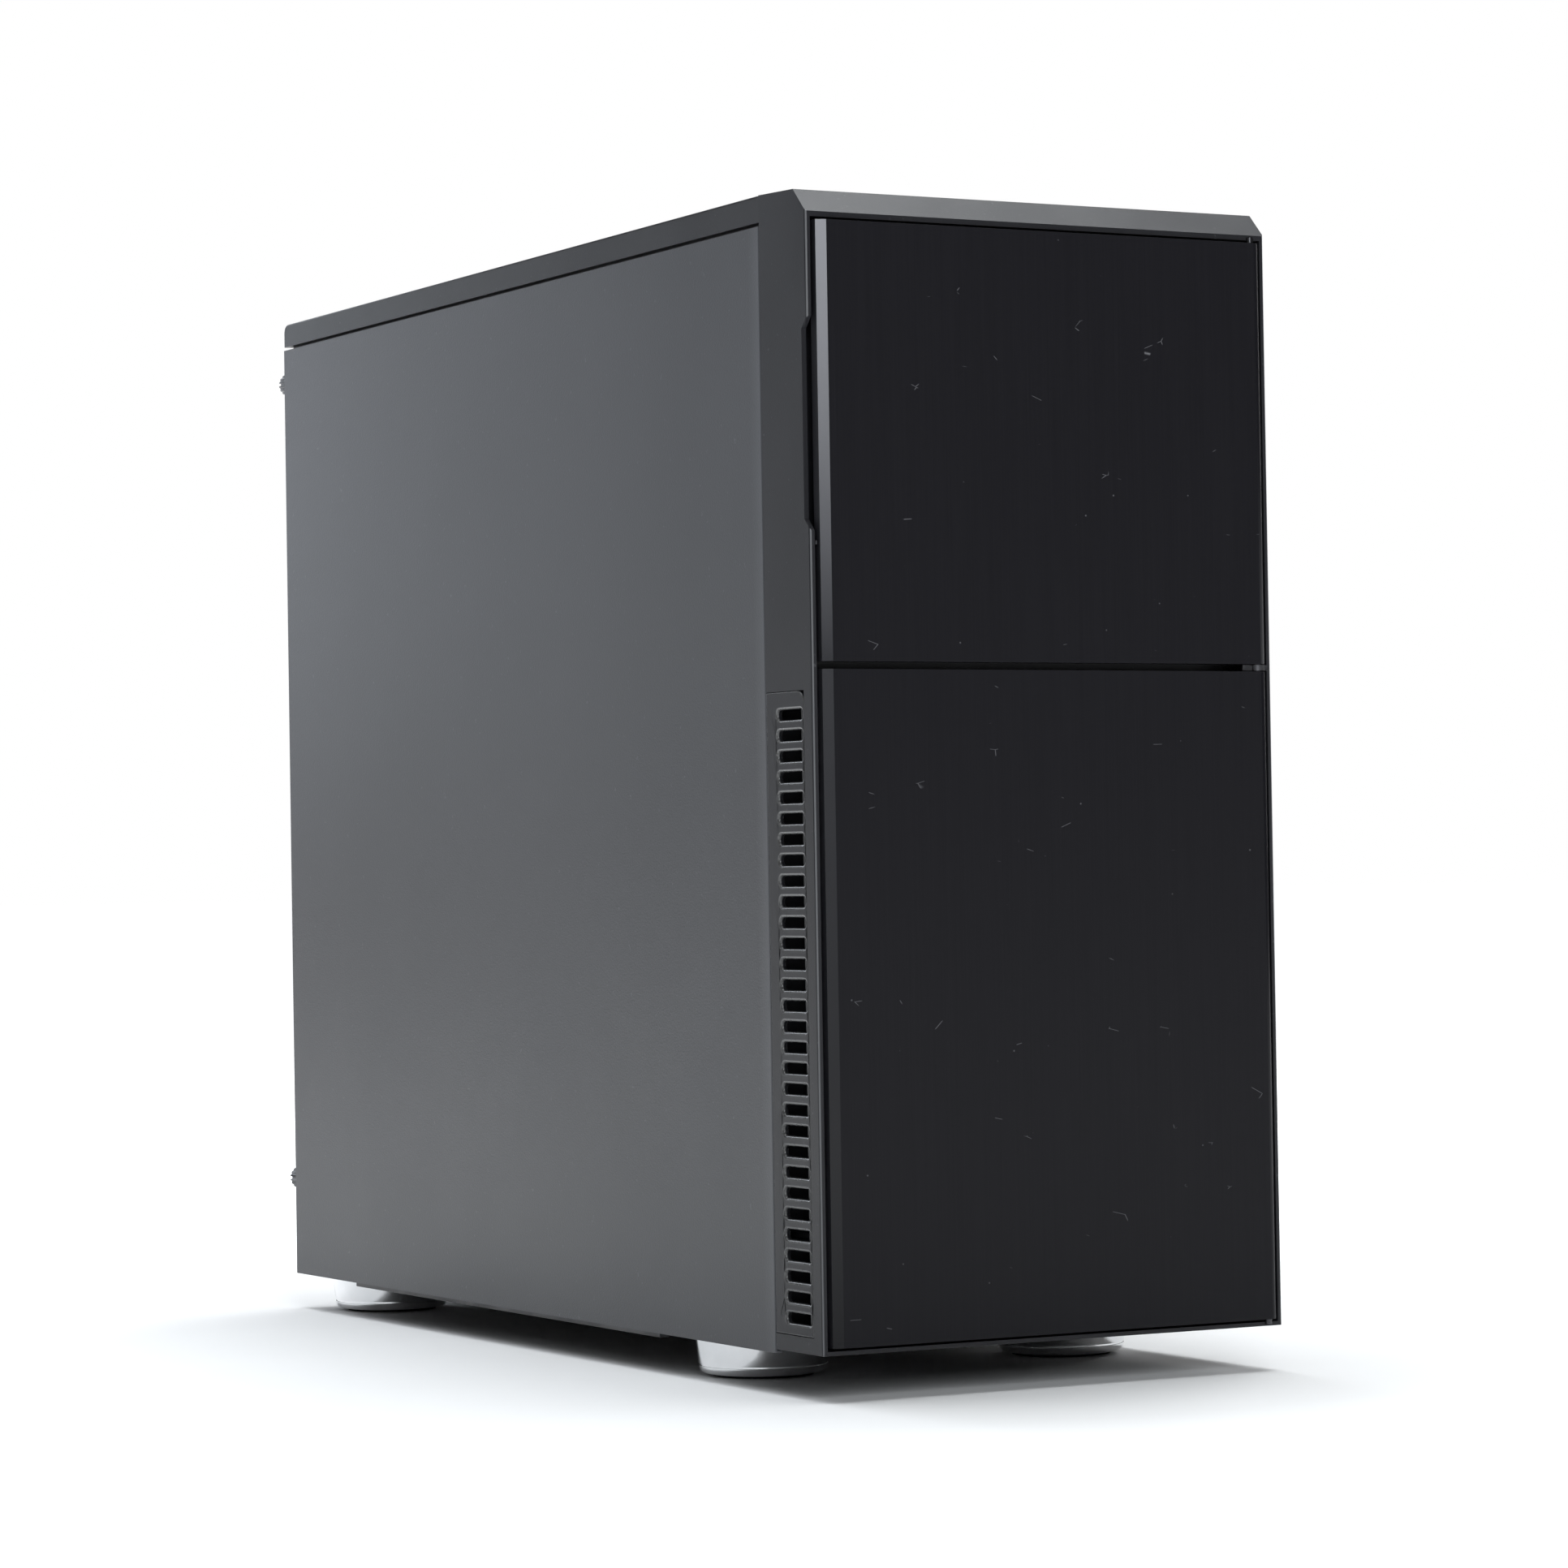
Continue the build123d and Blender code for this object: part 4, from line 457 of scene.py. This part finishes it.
# ---------------------------------------------------------------- mesh pieces
class Piece:
    """Collects boxes, discs, tubes and rings in one mesh, then becomes an object on a body."""

    def __init__(self, name):
        self.name = name
        self.shape = bmesh.new()

    def box(self, lowest, highest):
        size = Vector(highest) - Vector(lowest)
        middle = (Vector(highest) + Vector(lowest)) / 2
        matrix = Matrix.Translation(middle) @ Matrix.Diagonal((*size, 1))
        bmesh.ops.create_cube(self.shape, size=1.0, matrix=matrix)

    def rod(self, start, radius, length, axis="Z", end_radius=None, sides=32):
        turn = {"X": Matrix.Rotation(pi / 2, 4, "Y"), "Y": Matrix.Rotation(-pi / 2, 4, "X"),
                "Z": Matrix.Identity(4)}[axis]
        matrix = Matrix.Translation(start) @ turn @ Matrix.Translation((0, 0, length / 2))
        bmesh.ops.create_cone(self.shape, cap_ends=True, segments=sides, radius1=radius,
                              radius2=radius if end_radius is None else end_radius,
                              depth=length, matrix=matrix)

    def ring(self, centre, radius, thick, axis="Y", around=48, sides=10):
        """A torus whose axis is X, Y or Z."""
        rows = []
        for i in range(around):
            turn = 2 * pi * i / around
            row = []
            for k in range(sides):
                tilt = 2 * pi * k / sides
                out = radius + thick * cos(tilt)
                a, b, c = out * cos(turn), out * sin(turn), thick * sin(tilt)
                spot = {"X": (c, a, b), "Y": (a, c, b), "Z": (a, b, c)}[axis]
                row.append(self.shape.verts.new(Vector(spot) + Vector(centre)))
            rows.append(row)
        for i in range(around):
            for k in range(sides):
                corners = (rows[i][k], rows[(i + 1) % around][k],
                           rows[(i + 1) % around][(k + 1) % sides], rows[i][(k + 1) % sides])
                self.shape.faces.new(corners)
        return self

    def finish(self, material, body, slot, bevel=0.0, segments=2):
        bmesh.ops.recalc_face_normals(self.shape, faces=self.shape.faces)
        mesh = bpy.data.meshes.new(self.name)
        self.shape.to_mesh(mesh)
        self.shape.free()
        mesh.materials.append(material)
        mesh.shade_smooth()
        mesh.set_sharp_from_angle(angle=SHARP_ANGLE)
        piece = bpy.data.objects.new(self.name, mesh)
        bpy.context.scene.collection.objects.link(piece)
        if bevel:
            round_edges(piece, bevel, segments)
        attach(piece, body)


def round_edges(obj, width, segments=2):
    """Small rounded edges that catch the light."""
    bevel = obj.modifiers.new("rounded_edges", "BEVEL")
    bevel.width = width
    bevel.segments = segments
    bevel.limit_method = "ANGLE"
    bevel.angle_limit = SHARP_ANGLE
    bevel.harden_normals = True
    bevel.use_clamp_overlap = True


def soften_node(name, width, segments=2, edge_material=None):
    """Joins a CAD node's split corners and rounds its edges, which may have their own material."""
    node = NODES[name]
    weld = node.modifiers.new("joined_corners", "WELD")
    weld.merge_threshold = WELD_DISTANCE
    round_edges(node, width, segments)
    if edge_material:
        node.data.materials.append(edge_material)
        node.modifiers["rounded_edges"].material = 1


def dress(name, material):
    """Gives a CAD node its material."""
    mesh = NODES[name].data
    mesh.materials.clear()
    mesh.materials.append(material)


# ---------------------------------------------------------------- finishes of the CAD nodes
PAINT = powder_paint(low("left_side_panel").y)
PLASTIC = moulded_plastic("moulded_plastic", 0.30)
# the bezel plastic carries the painted highlight along its front corners
BEZEL_PLASTIC = moulded_plastic("bezel_plastic", 0.27, low("front_bezel"))
STEEL = dark_steel()
ZINC = zinc_steel()
RUBBER = soft_rubber()
# painted highlights for the rounded edges of the vents and side panels
VENT_EDGE_HIGHLIGHT = painted_edge_highlight("vent_edge_highlight", 0.06)
PANEL_EDGE_HIGHLIGHT = painted_edge_highlight("panel_edge_highlight", 0.15)
FAN = fan_plastic()
BOARD = circuit_board()
GLOSS = gloss_black()
FELT = damping_felt()
SLEEVE = braided_sleeve()
ALUMINIUM = bare_metal("aluminium", (0.72, 0.73, 0.75), 0.3, (1, 1, 12))
CAST = bare_metal("cast_metal", (0.42, 0.43, 0.44), 0.42)
BRIGHT = bare_metal("bright_screw", (0.62, 0.62, 0.63), 0.24)
BLACKED = bare_metal("blacked_steel", (0.07, 0.07, 0.075), 0.34)
GOLD = bare_metal("gold_contact", (0.8, 0.6, 0.25), 0.25)
SOCKET = coloured_plastic("socket_black", (0.02, 0.02, 0.022))
CORE = coloured_plastic("core_parts", (0.30, 0.22, 0.10))
JACK_GREEN = coloured_plastic("jack_green", (0.16, 0.42, 0.12))
JACK_PINK = coloured_plastic("jack_pink", (0.62, 0.2, 0.26))
JACK_BLUE = coloured_plastic("jack_blue", (0.05, 0.2, 0.5))
JACK_PURPLE = coloured_plastic("jack_purple", (0.2, 0.1, 0.36))
LENS_BLUE = lamp_lens("lens_blue", (0.1, 0.3, 0.75))
LENS_RED = lamp_lens("lens_red", (0.6, 0.05, 0.04))
LENS_GREEN = lamp_lens("lens_green", (0.1, 0.5, 0.12))
DOOR_LEFT = low("upper_door_skin").x
BEVEL_WIDTH = 4.0 * MM

FINISHES = {
    "front_bezel": BEZEL_PLASTIC, "left_vent": BEZEL_PLASTIC, "right_vent": BEZEL_PLASTIC,
    "top_cover": PLASTIC,
    "upper_door_core": PLASTIC, "lower_door_core": PLASTIC, "bay_covers": PLASTIC,
    "drive_trays": PLASTIC, "graphics_cooler": PLASTIC,
    "left_side_panel": PAINT, "right_side_panel": PAINT,
    "bottom_pan": STEEL, "rear_panel": STEEL, "front_wall": STEEL, "roof_panel": STEEL,
    "motherboard_tray": STEEL, "optical_bay_cage": STEEL, "drive_cage": STEEL,
    "power_supply_case": STEEL, "mains_inlet": SOCKET,
    "control_panel": GLOSS, "power_button": GLOSS, "reset_button": GLOSS, "power_supply_switch": GLOSS,
    "optical_drive": drive_body(), "front_ports": ZINC, "rear_ports": ZINC, "io_shield": ZINC,
    "slot_covers": ZINC,
    "hinge_brackets": BLACKED, "fasteners": BRIGHT, "left_upper_thumbscrew": BLACKED,
    "left_lower_thumbscrew": BLACKED, "right_upper_thumbscrew": BLACKED,
    "right_lower_thumbscrew": BLACKED,
    "front_filters": FAN, "case_fan_frames": FAN, "lower_front_fan_rotor": FAN,
    "upper_front_fan_rotor": FAN, "rear_fan_rotor": FAN, "power_supply_fan_rotor": FAN,
    "cpu_fan_frame": FAN, "cpu_fan_rotor": FAN, "graphics_fan_rotor": FAN, "dust_filter": FAN,
    "motherboard": BOARD, "memory_modules": BOARD, "board_sockets": SOCKET,
    "graphics_card": card_finish(low("slot_covers").y - 0.2 * MM),
    "board_heat_sinks": ALUMINIUM, "cpu_cooler": ALUMINIUM, "hard_drives": CAST,
    "power_supply_core": CORE, "cable_grommets": RUBBER, "foot_pads": RUBBER,
    "power_cables": SLEEVE, "data_cables": SLEEVE,
    "chrome_feet": chrome_plate(),
    # the last two colours of each door are the strip's painted highlight at its top and bottom, brighter
    # on the upper door
    "upper_door_skin": door_face("upper_door_face", DOOR_LEFT, BEVEL_WIDTH, high("upper_door_skin").z,
                                 low("upper_door_skin").z, (0.2, 0.2, 0.215), (0.03, 0.03, 0.033)),
    "lower_door_skin": door_face("lower_door_face", DOOR_LEFT, BEVEL_WIDTH, high("lower_door_skin").z,
                                 low("lower_door_skin").z, (0.035, 0.035, 0.038), (0.009, 0.009, 0.01)),
}


# ---------------------------------------------------------------- added pieces
def damping_mat(name, body, core, margin=9.0 * MM, hinge_margin=14 * MM, thick=2.4 * MM,
                pitch=8.0 * MM, swell=0.9 * MM):
    """Egg-crate foam on the back of a door, as a closed sheet with a waved face."""
    x0, x1 = low(core).x + margin, high(core).x - hinge_margin
    z0, z1 = low(core).z + margin, high(core).z - margin
    back = high(core).y - 0.1 * MM
    shape = bmesh.new()
    columns, rows = int((x1 - x0) / pitch * 4), int((z1 - z0) / pitch * 4)
    grid = []
    for i in range(columns + 1):
        line = []
        for k in range(rows + 1):
            x = x0 + (x1 - x0) * i / columns
            z = z0 + (z1 - z0) * k / rows
            edge = min(i, k, columns - i, rows - k)
            wave = sin(2 * pi * (x - x0) / pitch) * sin(2 * pi * (z - z0) / pitch)
            height = back
            if edge == 1:
                height += 0.7 * thick
            elif edge > 1:
                height += thick + swell * wave
            line.append(shape.verts.new((x, height, z)))
        grid.append(line)
    for i in range(columns):
        for k in range(rows):
            shape.faces.new((grid[i][k], grid[i][k + 1], grid[i + 1][k + 1], grid[i + 1][k]))
    rim = [grid[i][0] for i in range(columns)] + [grid[columns][k] for k in range(rows)]
    rim += [grid[i][rows] for i in range(columns, 0, -1)] + [grid[0][k] for k in range(rows, 0, -1)]
    shape.faces.new(rim)
    piece = Piece(name)
    piece.shape.free()
    piece.shape = shape
    piece.finish(FELT, body, "bezel_plastic")


def mesh_screen(name, body, slot, lowest, highest, pitch, wire, flat_axis):
    """A woven dust screen: two crossed rows of fine flat wires."""
    screen = Piece(name)
    axes = [axis for axis in range(3) if axis != flat_axis]
    for axis in axes:
        count = int((highest[axis] - lowest[axis]) / pitch)
        for i in range(1, count):
            start, end = list(lowest), list(highest)
            start[axis] = lowest[axis] + i * pitch - wire / 2
            end[axis] = start[axis] + wire
            screen.box(start, end)
    screen.finish(FAN, body, slot)


def front_details():
    """What shows behind the doors: drive button, jack rims, lamp lenses, button rim and gap tab."""
    drive_front, drive_top = low("optical_drive").y, high("optical_drive").z
    eject = Piece("drive_eject_button")
    eject.box((0.052, drive_front - 0.9 * MM, drive_top - 34 * MM),
              (0.062, drive_front + MM, drive_top - 29 * MM))
    eject.finish(GLOSS, "chassis", "control_gloss", 0.4 * MM, 3)
    lamp = Piece("drive_lamp")
    lamp.rod((0.044, drive_front - 0.4 * MM, drive_top - 31.5 * MM), 1.0 * MM, 1.2 * MM,
             "Y", 0.8 * MM, 20)
    lamp.finish(LENS_GREEN, "chassis", "control_gloss", 0.15 * MM)
    panel_front = low("control_panel").y
    middle = (low("control_panel").z + high("control_panel").z) / 2 - 0.25 * MM
    for name, x, rim in (("headphone_rim", -0.030, JACK_GREEN), ("microphone_rim", -0.020, JACK_PINK)):
        Piece(name).ring((x, panel_front - 0.1 * MM, middle), 2.5 * MM, 0.45 * MM).finish(
            rim, "chassis", "zinc_steel")
    for name, x, glass in (("power_lamp_lens", 0.020, LENS_BLUE), ("drive_lamp_lens", 0.030, LENS_RED)):
        lens = Piece(name)
        lens.rod((x, panel_front - 1.1 * MM, middle), 0.9 * MM, 0.7 * MM, "Y", 1.35 * MM, 24)
        lens.finish(glass, "chassis", "zinc_steel", 0.2 * MM, 3)
    for name, node in (("power_button_rim", "power_button"), ("reset_button_rim", "reset_button")):
        x = (low(node).x + high(node).x) / 2
        radius = 7.9 * MM if node == "power_button" else 4.4 * MM
        Piece(name).ring((x, panel_front - 0.05 * MM, middle), radius, 0.35 * MM).finish(
            ALUMINIUM, "chassis", "control_gloss")
    for name, x in (("front_usb_tongue_1", -0.066), ("front_usb_tongue_2", -0.046)):
        tongue = Piece(name)
        tongue.box((x - 5.2 * MM, panel_front + 1.2 * MM, middle + 0.3 * MM),
                   (x + 5.2 * MM, panel_front + 11 * MM, middle + 1.9 * MM))
        for contact in range(4):
            left = x - 4.0 * MM + contact * 2.4 * MM
            tongue.box((left, panel_front + 2 * MM, middle + 0.15 * MM),
                       (left + 0.9 * MM, panel_front + 9 * MM, middle + 0.35 * MM))
        tongue.finish(SOCKET, "chassis", "socket_plastic", 0.15 * MM)
    tab = Piece("gap_tab")
    wall = low("upper_door_skin").x
    tab.box((wall - 1.35 * MM, low("front_bezel").y - 0.4 * MM, 0.3226),
            (wall - 0.35 * MM, low("front_bezel").y + 3 * MM, 0.3244))
    tab.finish(BLACKED, "chassis", "bezel_plastic", 0.3 * MM)


def filter_details():
    """Woven screens in the two front filters and the one under the power supply."""
    box_low, box_high = low("front_filters"), high("front_filters")
    middle = (box_low.z + box_high.z) / 2
    screen_y = (box_high.y - 0.75 * MM, box_high.y - 0.45 * MM)
    for name, z0, z1 in (("lower_intake_screen", box_low.z + 4 * MM, middle - 6 * MM),
                         ("upper_intake_screen", middle + 6 * MM, box_high.z - 4 * MM)):
        mesh_screen(name, "chassis", "fan_plastic", (box_low.x + 4 * MM, screen_y[0], z0),
                    (box_high.x - 4 * MM, screen_y[1], z1), 1.9 * MM, 0.4 * MM, 1)
    tray_low, tray_high = low("dust_filter"), high("dust_filter")
    mesh_screen("lower_dust_screen", "filter_tray", "fan_plastic",
                (tray_low.x + 4 * MM, tray_low.y + 5 * MM, tray_high.z - 1.1 * MM),
                (tray_high.x - 4 * MM, tray_high.y - 9 * MM, tray_high.z - 0.8 * MM),
                1.9 * MM, 0.4 * MM, 2)


def rear_details():
    """Colour rims, tongues and contacts of the rear sockets."""
    face = low("motherboard").x
    rear = high("rear_ports").y
    for name, offset, rim in (("keyboard_rim", 8.0, JACK_PURPLE), ("mouse_rim", 24.0, JACK_GREEN)):
        socket = Piece(name)
        centre = (face - offset * MM, rear, 0.411)
        socket.ring(centre, 5.6 * MM, 0.6 * MM)
        socket.box((centre[0] - 1.6 * MM, rear - 10 * MM, 0.4095),
                   (centre[0] + 1.6 * MM, rear - 2 * MM, 0.4108))
        socket.finish(rim, "chassis", "zinc_steel")
    colours = {(9, 276): JACK_PINK, (25, 276): JACK_GREEN, (9, 296): JACK_BLUE, (25, 296): SOCKET}
    for (offset, z), rim in colours.items():
        Piece(f"audio_rim_{offset}_{z}").ring((face - offset * MM, rear + 0.1 * MM, z * MM), 2.6 * MM,
                                              0.8 * MM).finish(rim, "chassis", "zinc_steel")
    for z in (334, 350, 366):
        for side in (1.3, 9.4):
            tongue = Piece(f"rear_usb_tongue_{z}_{int(side)}")
            right = face - side * MM - 0.6 * MM
            tongue.box((right - 1.7 * MM, rear - 11 * MM, (z + 1.8) * MM),
                       (right, rear - 1.2 * MM, (z + 12.2) * MM))
            tongue.finish(SOCKET, "chassis", "socket_plastic", 0.15 * MM)
    contacts = Piece("network_contacts")
    for i in range(8):
        left = face - 12 * MM + i * 1.0 * MM
        contacts.box((left, rear - 11 * MM, 0.3262), (left + 0.5 * MM, rear - 3 * MM, 0.3268))
    contacts.finish(GOLD, "chassis", "zinc_steel")
    serial = Piece("monitor_socket")
    serial.box((face - 12.5 * MM, rear - MM, 0.3862), (face - 2 * MM, rear + 0.6 * MM, 0.3998))
    serial.finish(JACK_BLUE, "chassis", "socket_plastic", 0.8 * MM, 3)
    pins = Piece("monitor_socket_holes")
    for row in range(3):
        for k in range(5):
            x = face - (4.4 + 2.6 * row) * MM
            height = 0.3885 + 2.1 * MM * k + (row % 2) * MM
            pins.rod((x, rear + 0.5 * MM, height), 0.5 * MM, 0.2 * MM, "Y", sides=12)
    pins.finish(SOCKET, "chassis", "socket_plastic")


def board_details():
    """Capacitors and small chips on the main board."""
    face = low("motherboard").x
    cans = Piece("board_capacitors")
    for i in range(9):
        cans.rod((face - 9 * MM, (20 + 9.5 * i) * MM, 0.412), 3.4 * MM, 9 * MM, "X", sides=20)
    cans.finish(ALUMINIUM, "chassis", "heat_sink", 0.4 * MM)
    chips = Piece("board_chips")
    for i in range(6):
        z = (128 + 21 * i) * MM
        chips.box((face - 1.3 * MM, 0.232, z), (face, 0.241, z + 11 * MM))
    chips.finish(SOCKET, "chassis", "socket_plastic", 0.2 * MM)


# ---------------------------------------------------------------- make everything
bpy.context.scene.view_settings.view_transform = "Standard"
make_camera()
make_world()
make_floor()
make_light("left_rear_softbox", (-0.36, 1.75, 0.9), (-0.1, 0.3, 0.4), (0.4, 1.3),
           6.5, (0.86, 0.92, 1.0))
make_light("rear_top_softbox", (-0.7, 0.9, 2.7), (-0.1, 0.2, 0.2), (2.4, 1.8),
           30, (0.92, 0.96, 1.0))
make_light("front_softbox", (-0.75, -2.6, 1.45), (-0.1, -0.2, 1.45), (1.2, 1.8),
           42, (0.93, 0.97, 1.0))
make_light("overhead_softbox", (0.3, 0.0, 2.4), (0.2, -0.1, 0.4), (1.7, 1.7),
           58, (0.95, 0.98, 1.0))
make_light("right_rear_softbox", (2.6, 1.6, 1.2), (0.1, 0.1, 0.25), (1.6, 1.6), 30)

for node_name, node_finish in FINISHES.items():
    dress(node_name, node_finish)
# the rounded edges of the vents and side panels take the painted edge highlight colour
for node_name in ("left_vent", "right_vent"):
    soften_node(node_name, 0.5 * MM, 3, VENT_EDGE_HIGHLIGHT)
for node_name in ("left_side_panel", "right_side_panel"):
    soften_node(node_name, 0.35 * MM, 2, PANEL_EDGE_HIGHLIGHT)
for node_name in ("upper_door_skin", "lower_door_skin", "upper_door_core", "lower_door_core",
                  "front_bezel", "top_cover", "control_panel", "bay_covers"):
    soften_node(node_name, 0.25 * MM)
damping_mat("upper_door_mat", "upper_door", "upper_door_core")
damping_mat("lower_door_mat", "lower_door", "lower_door_core")
front_details()
filter_details()
rear_details()
board_details()
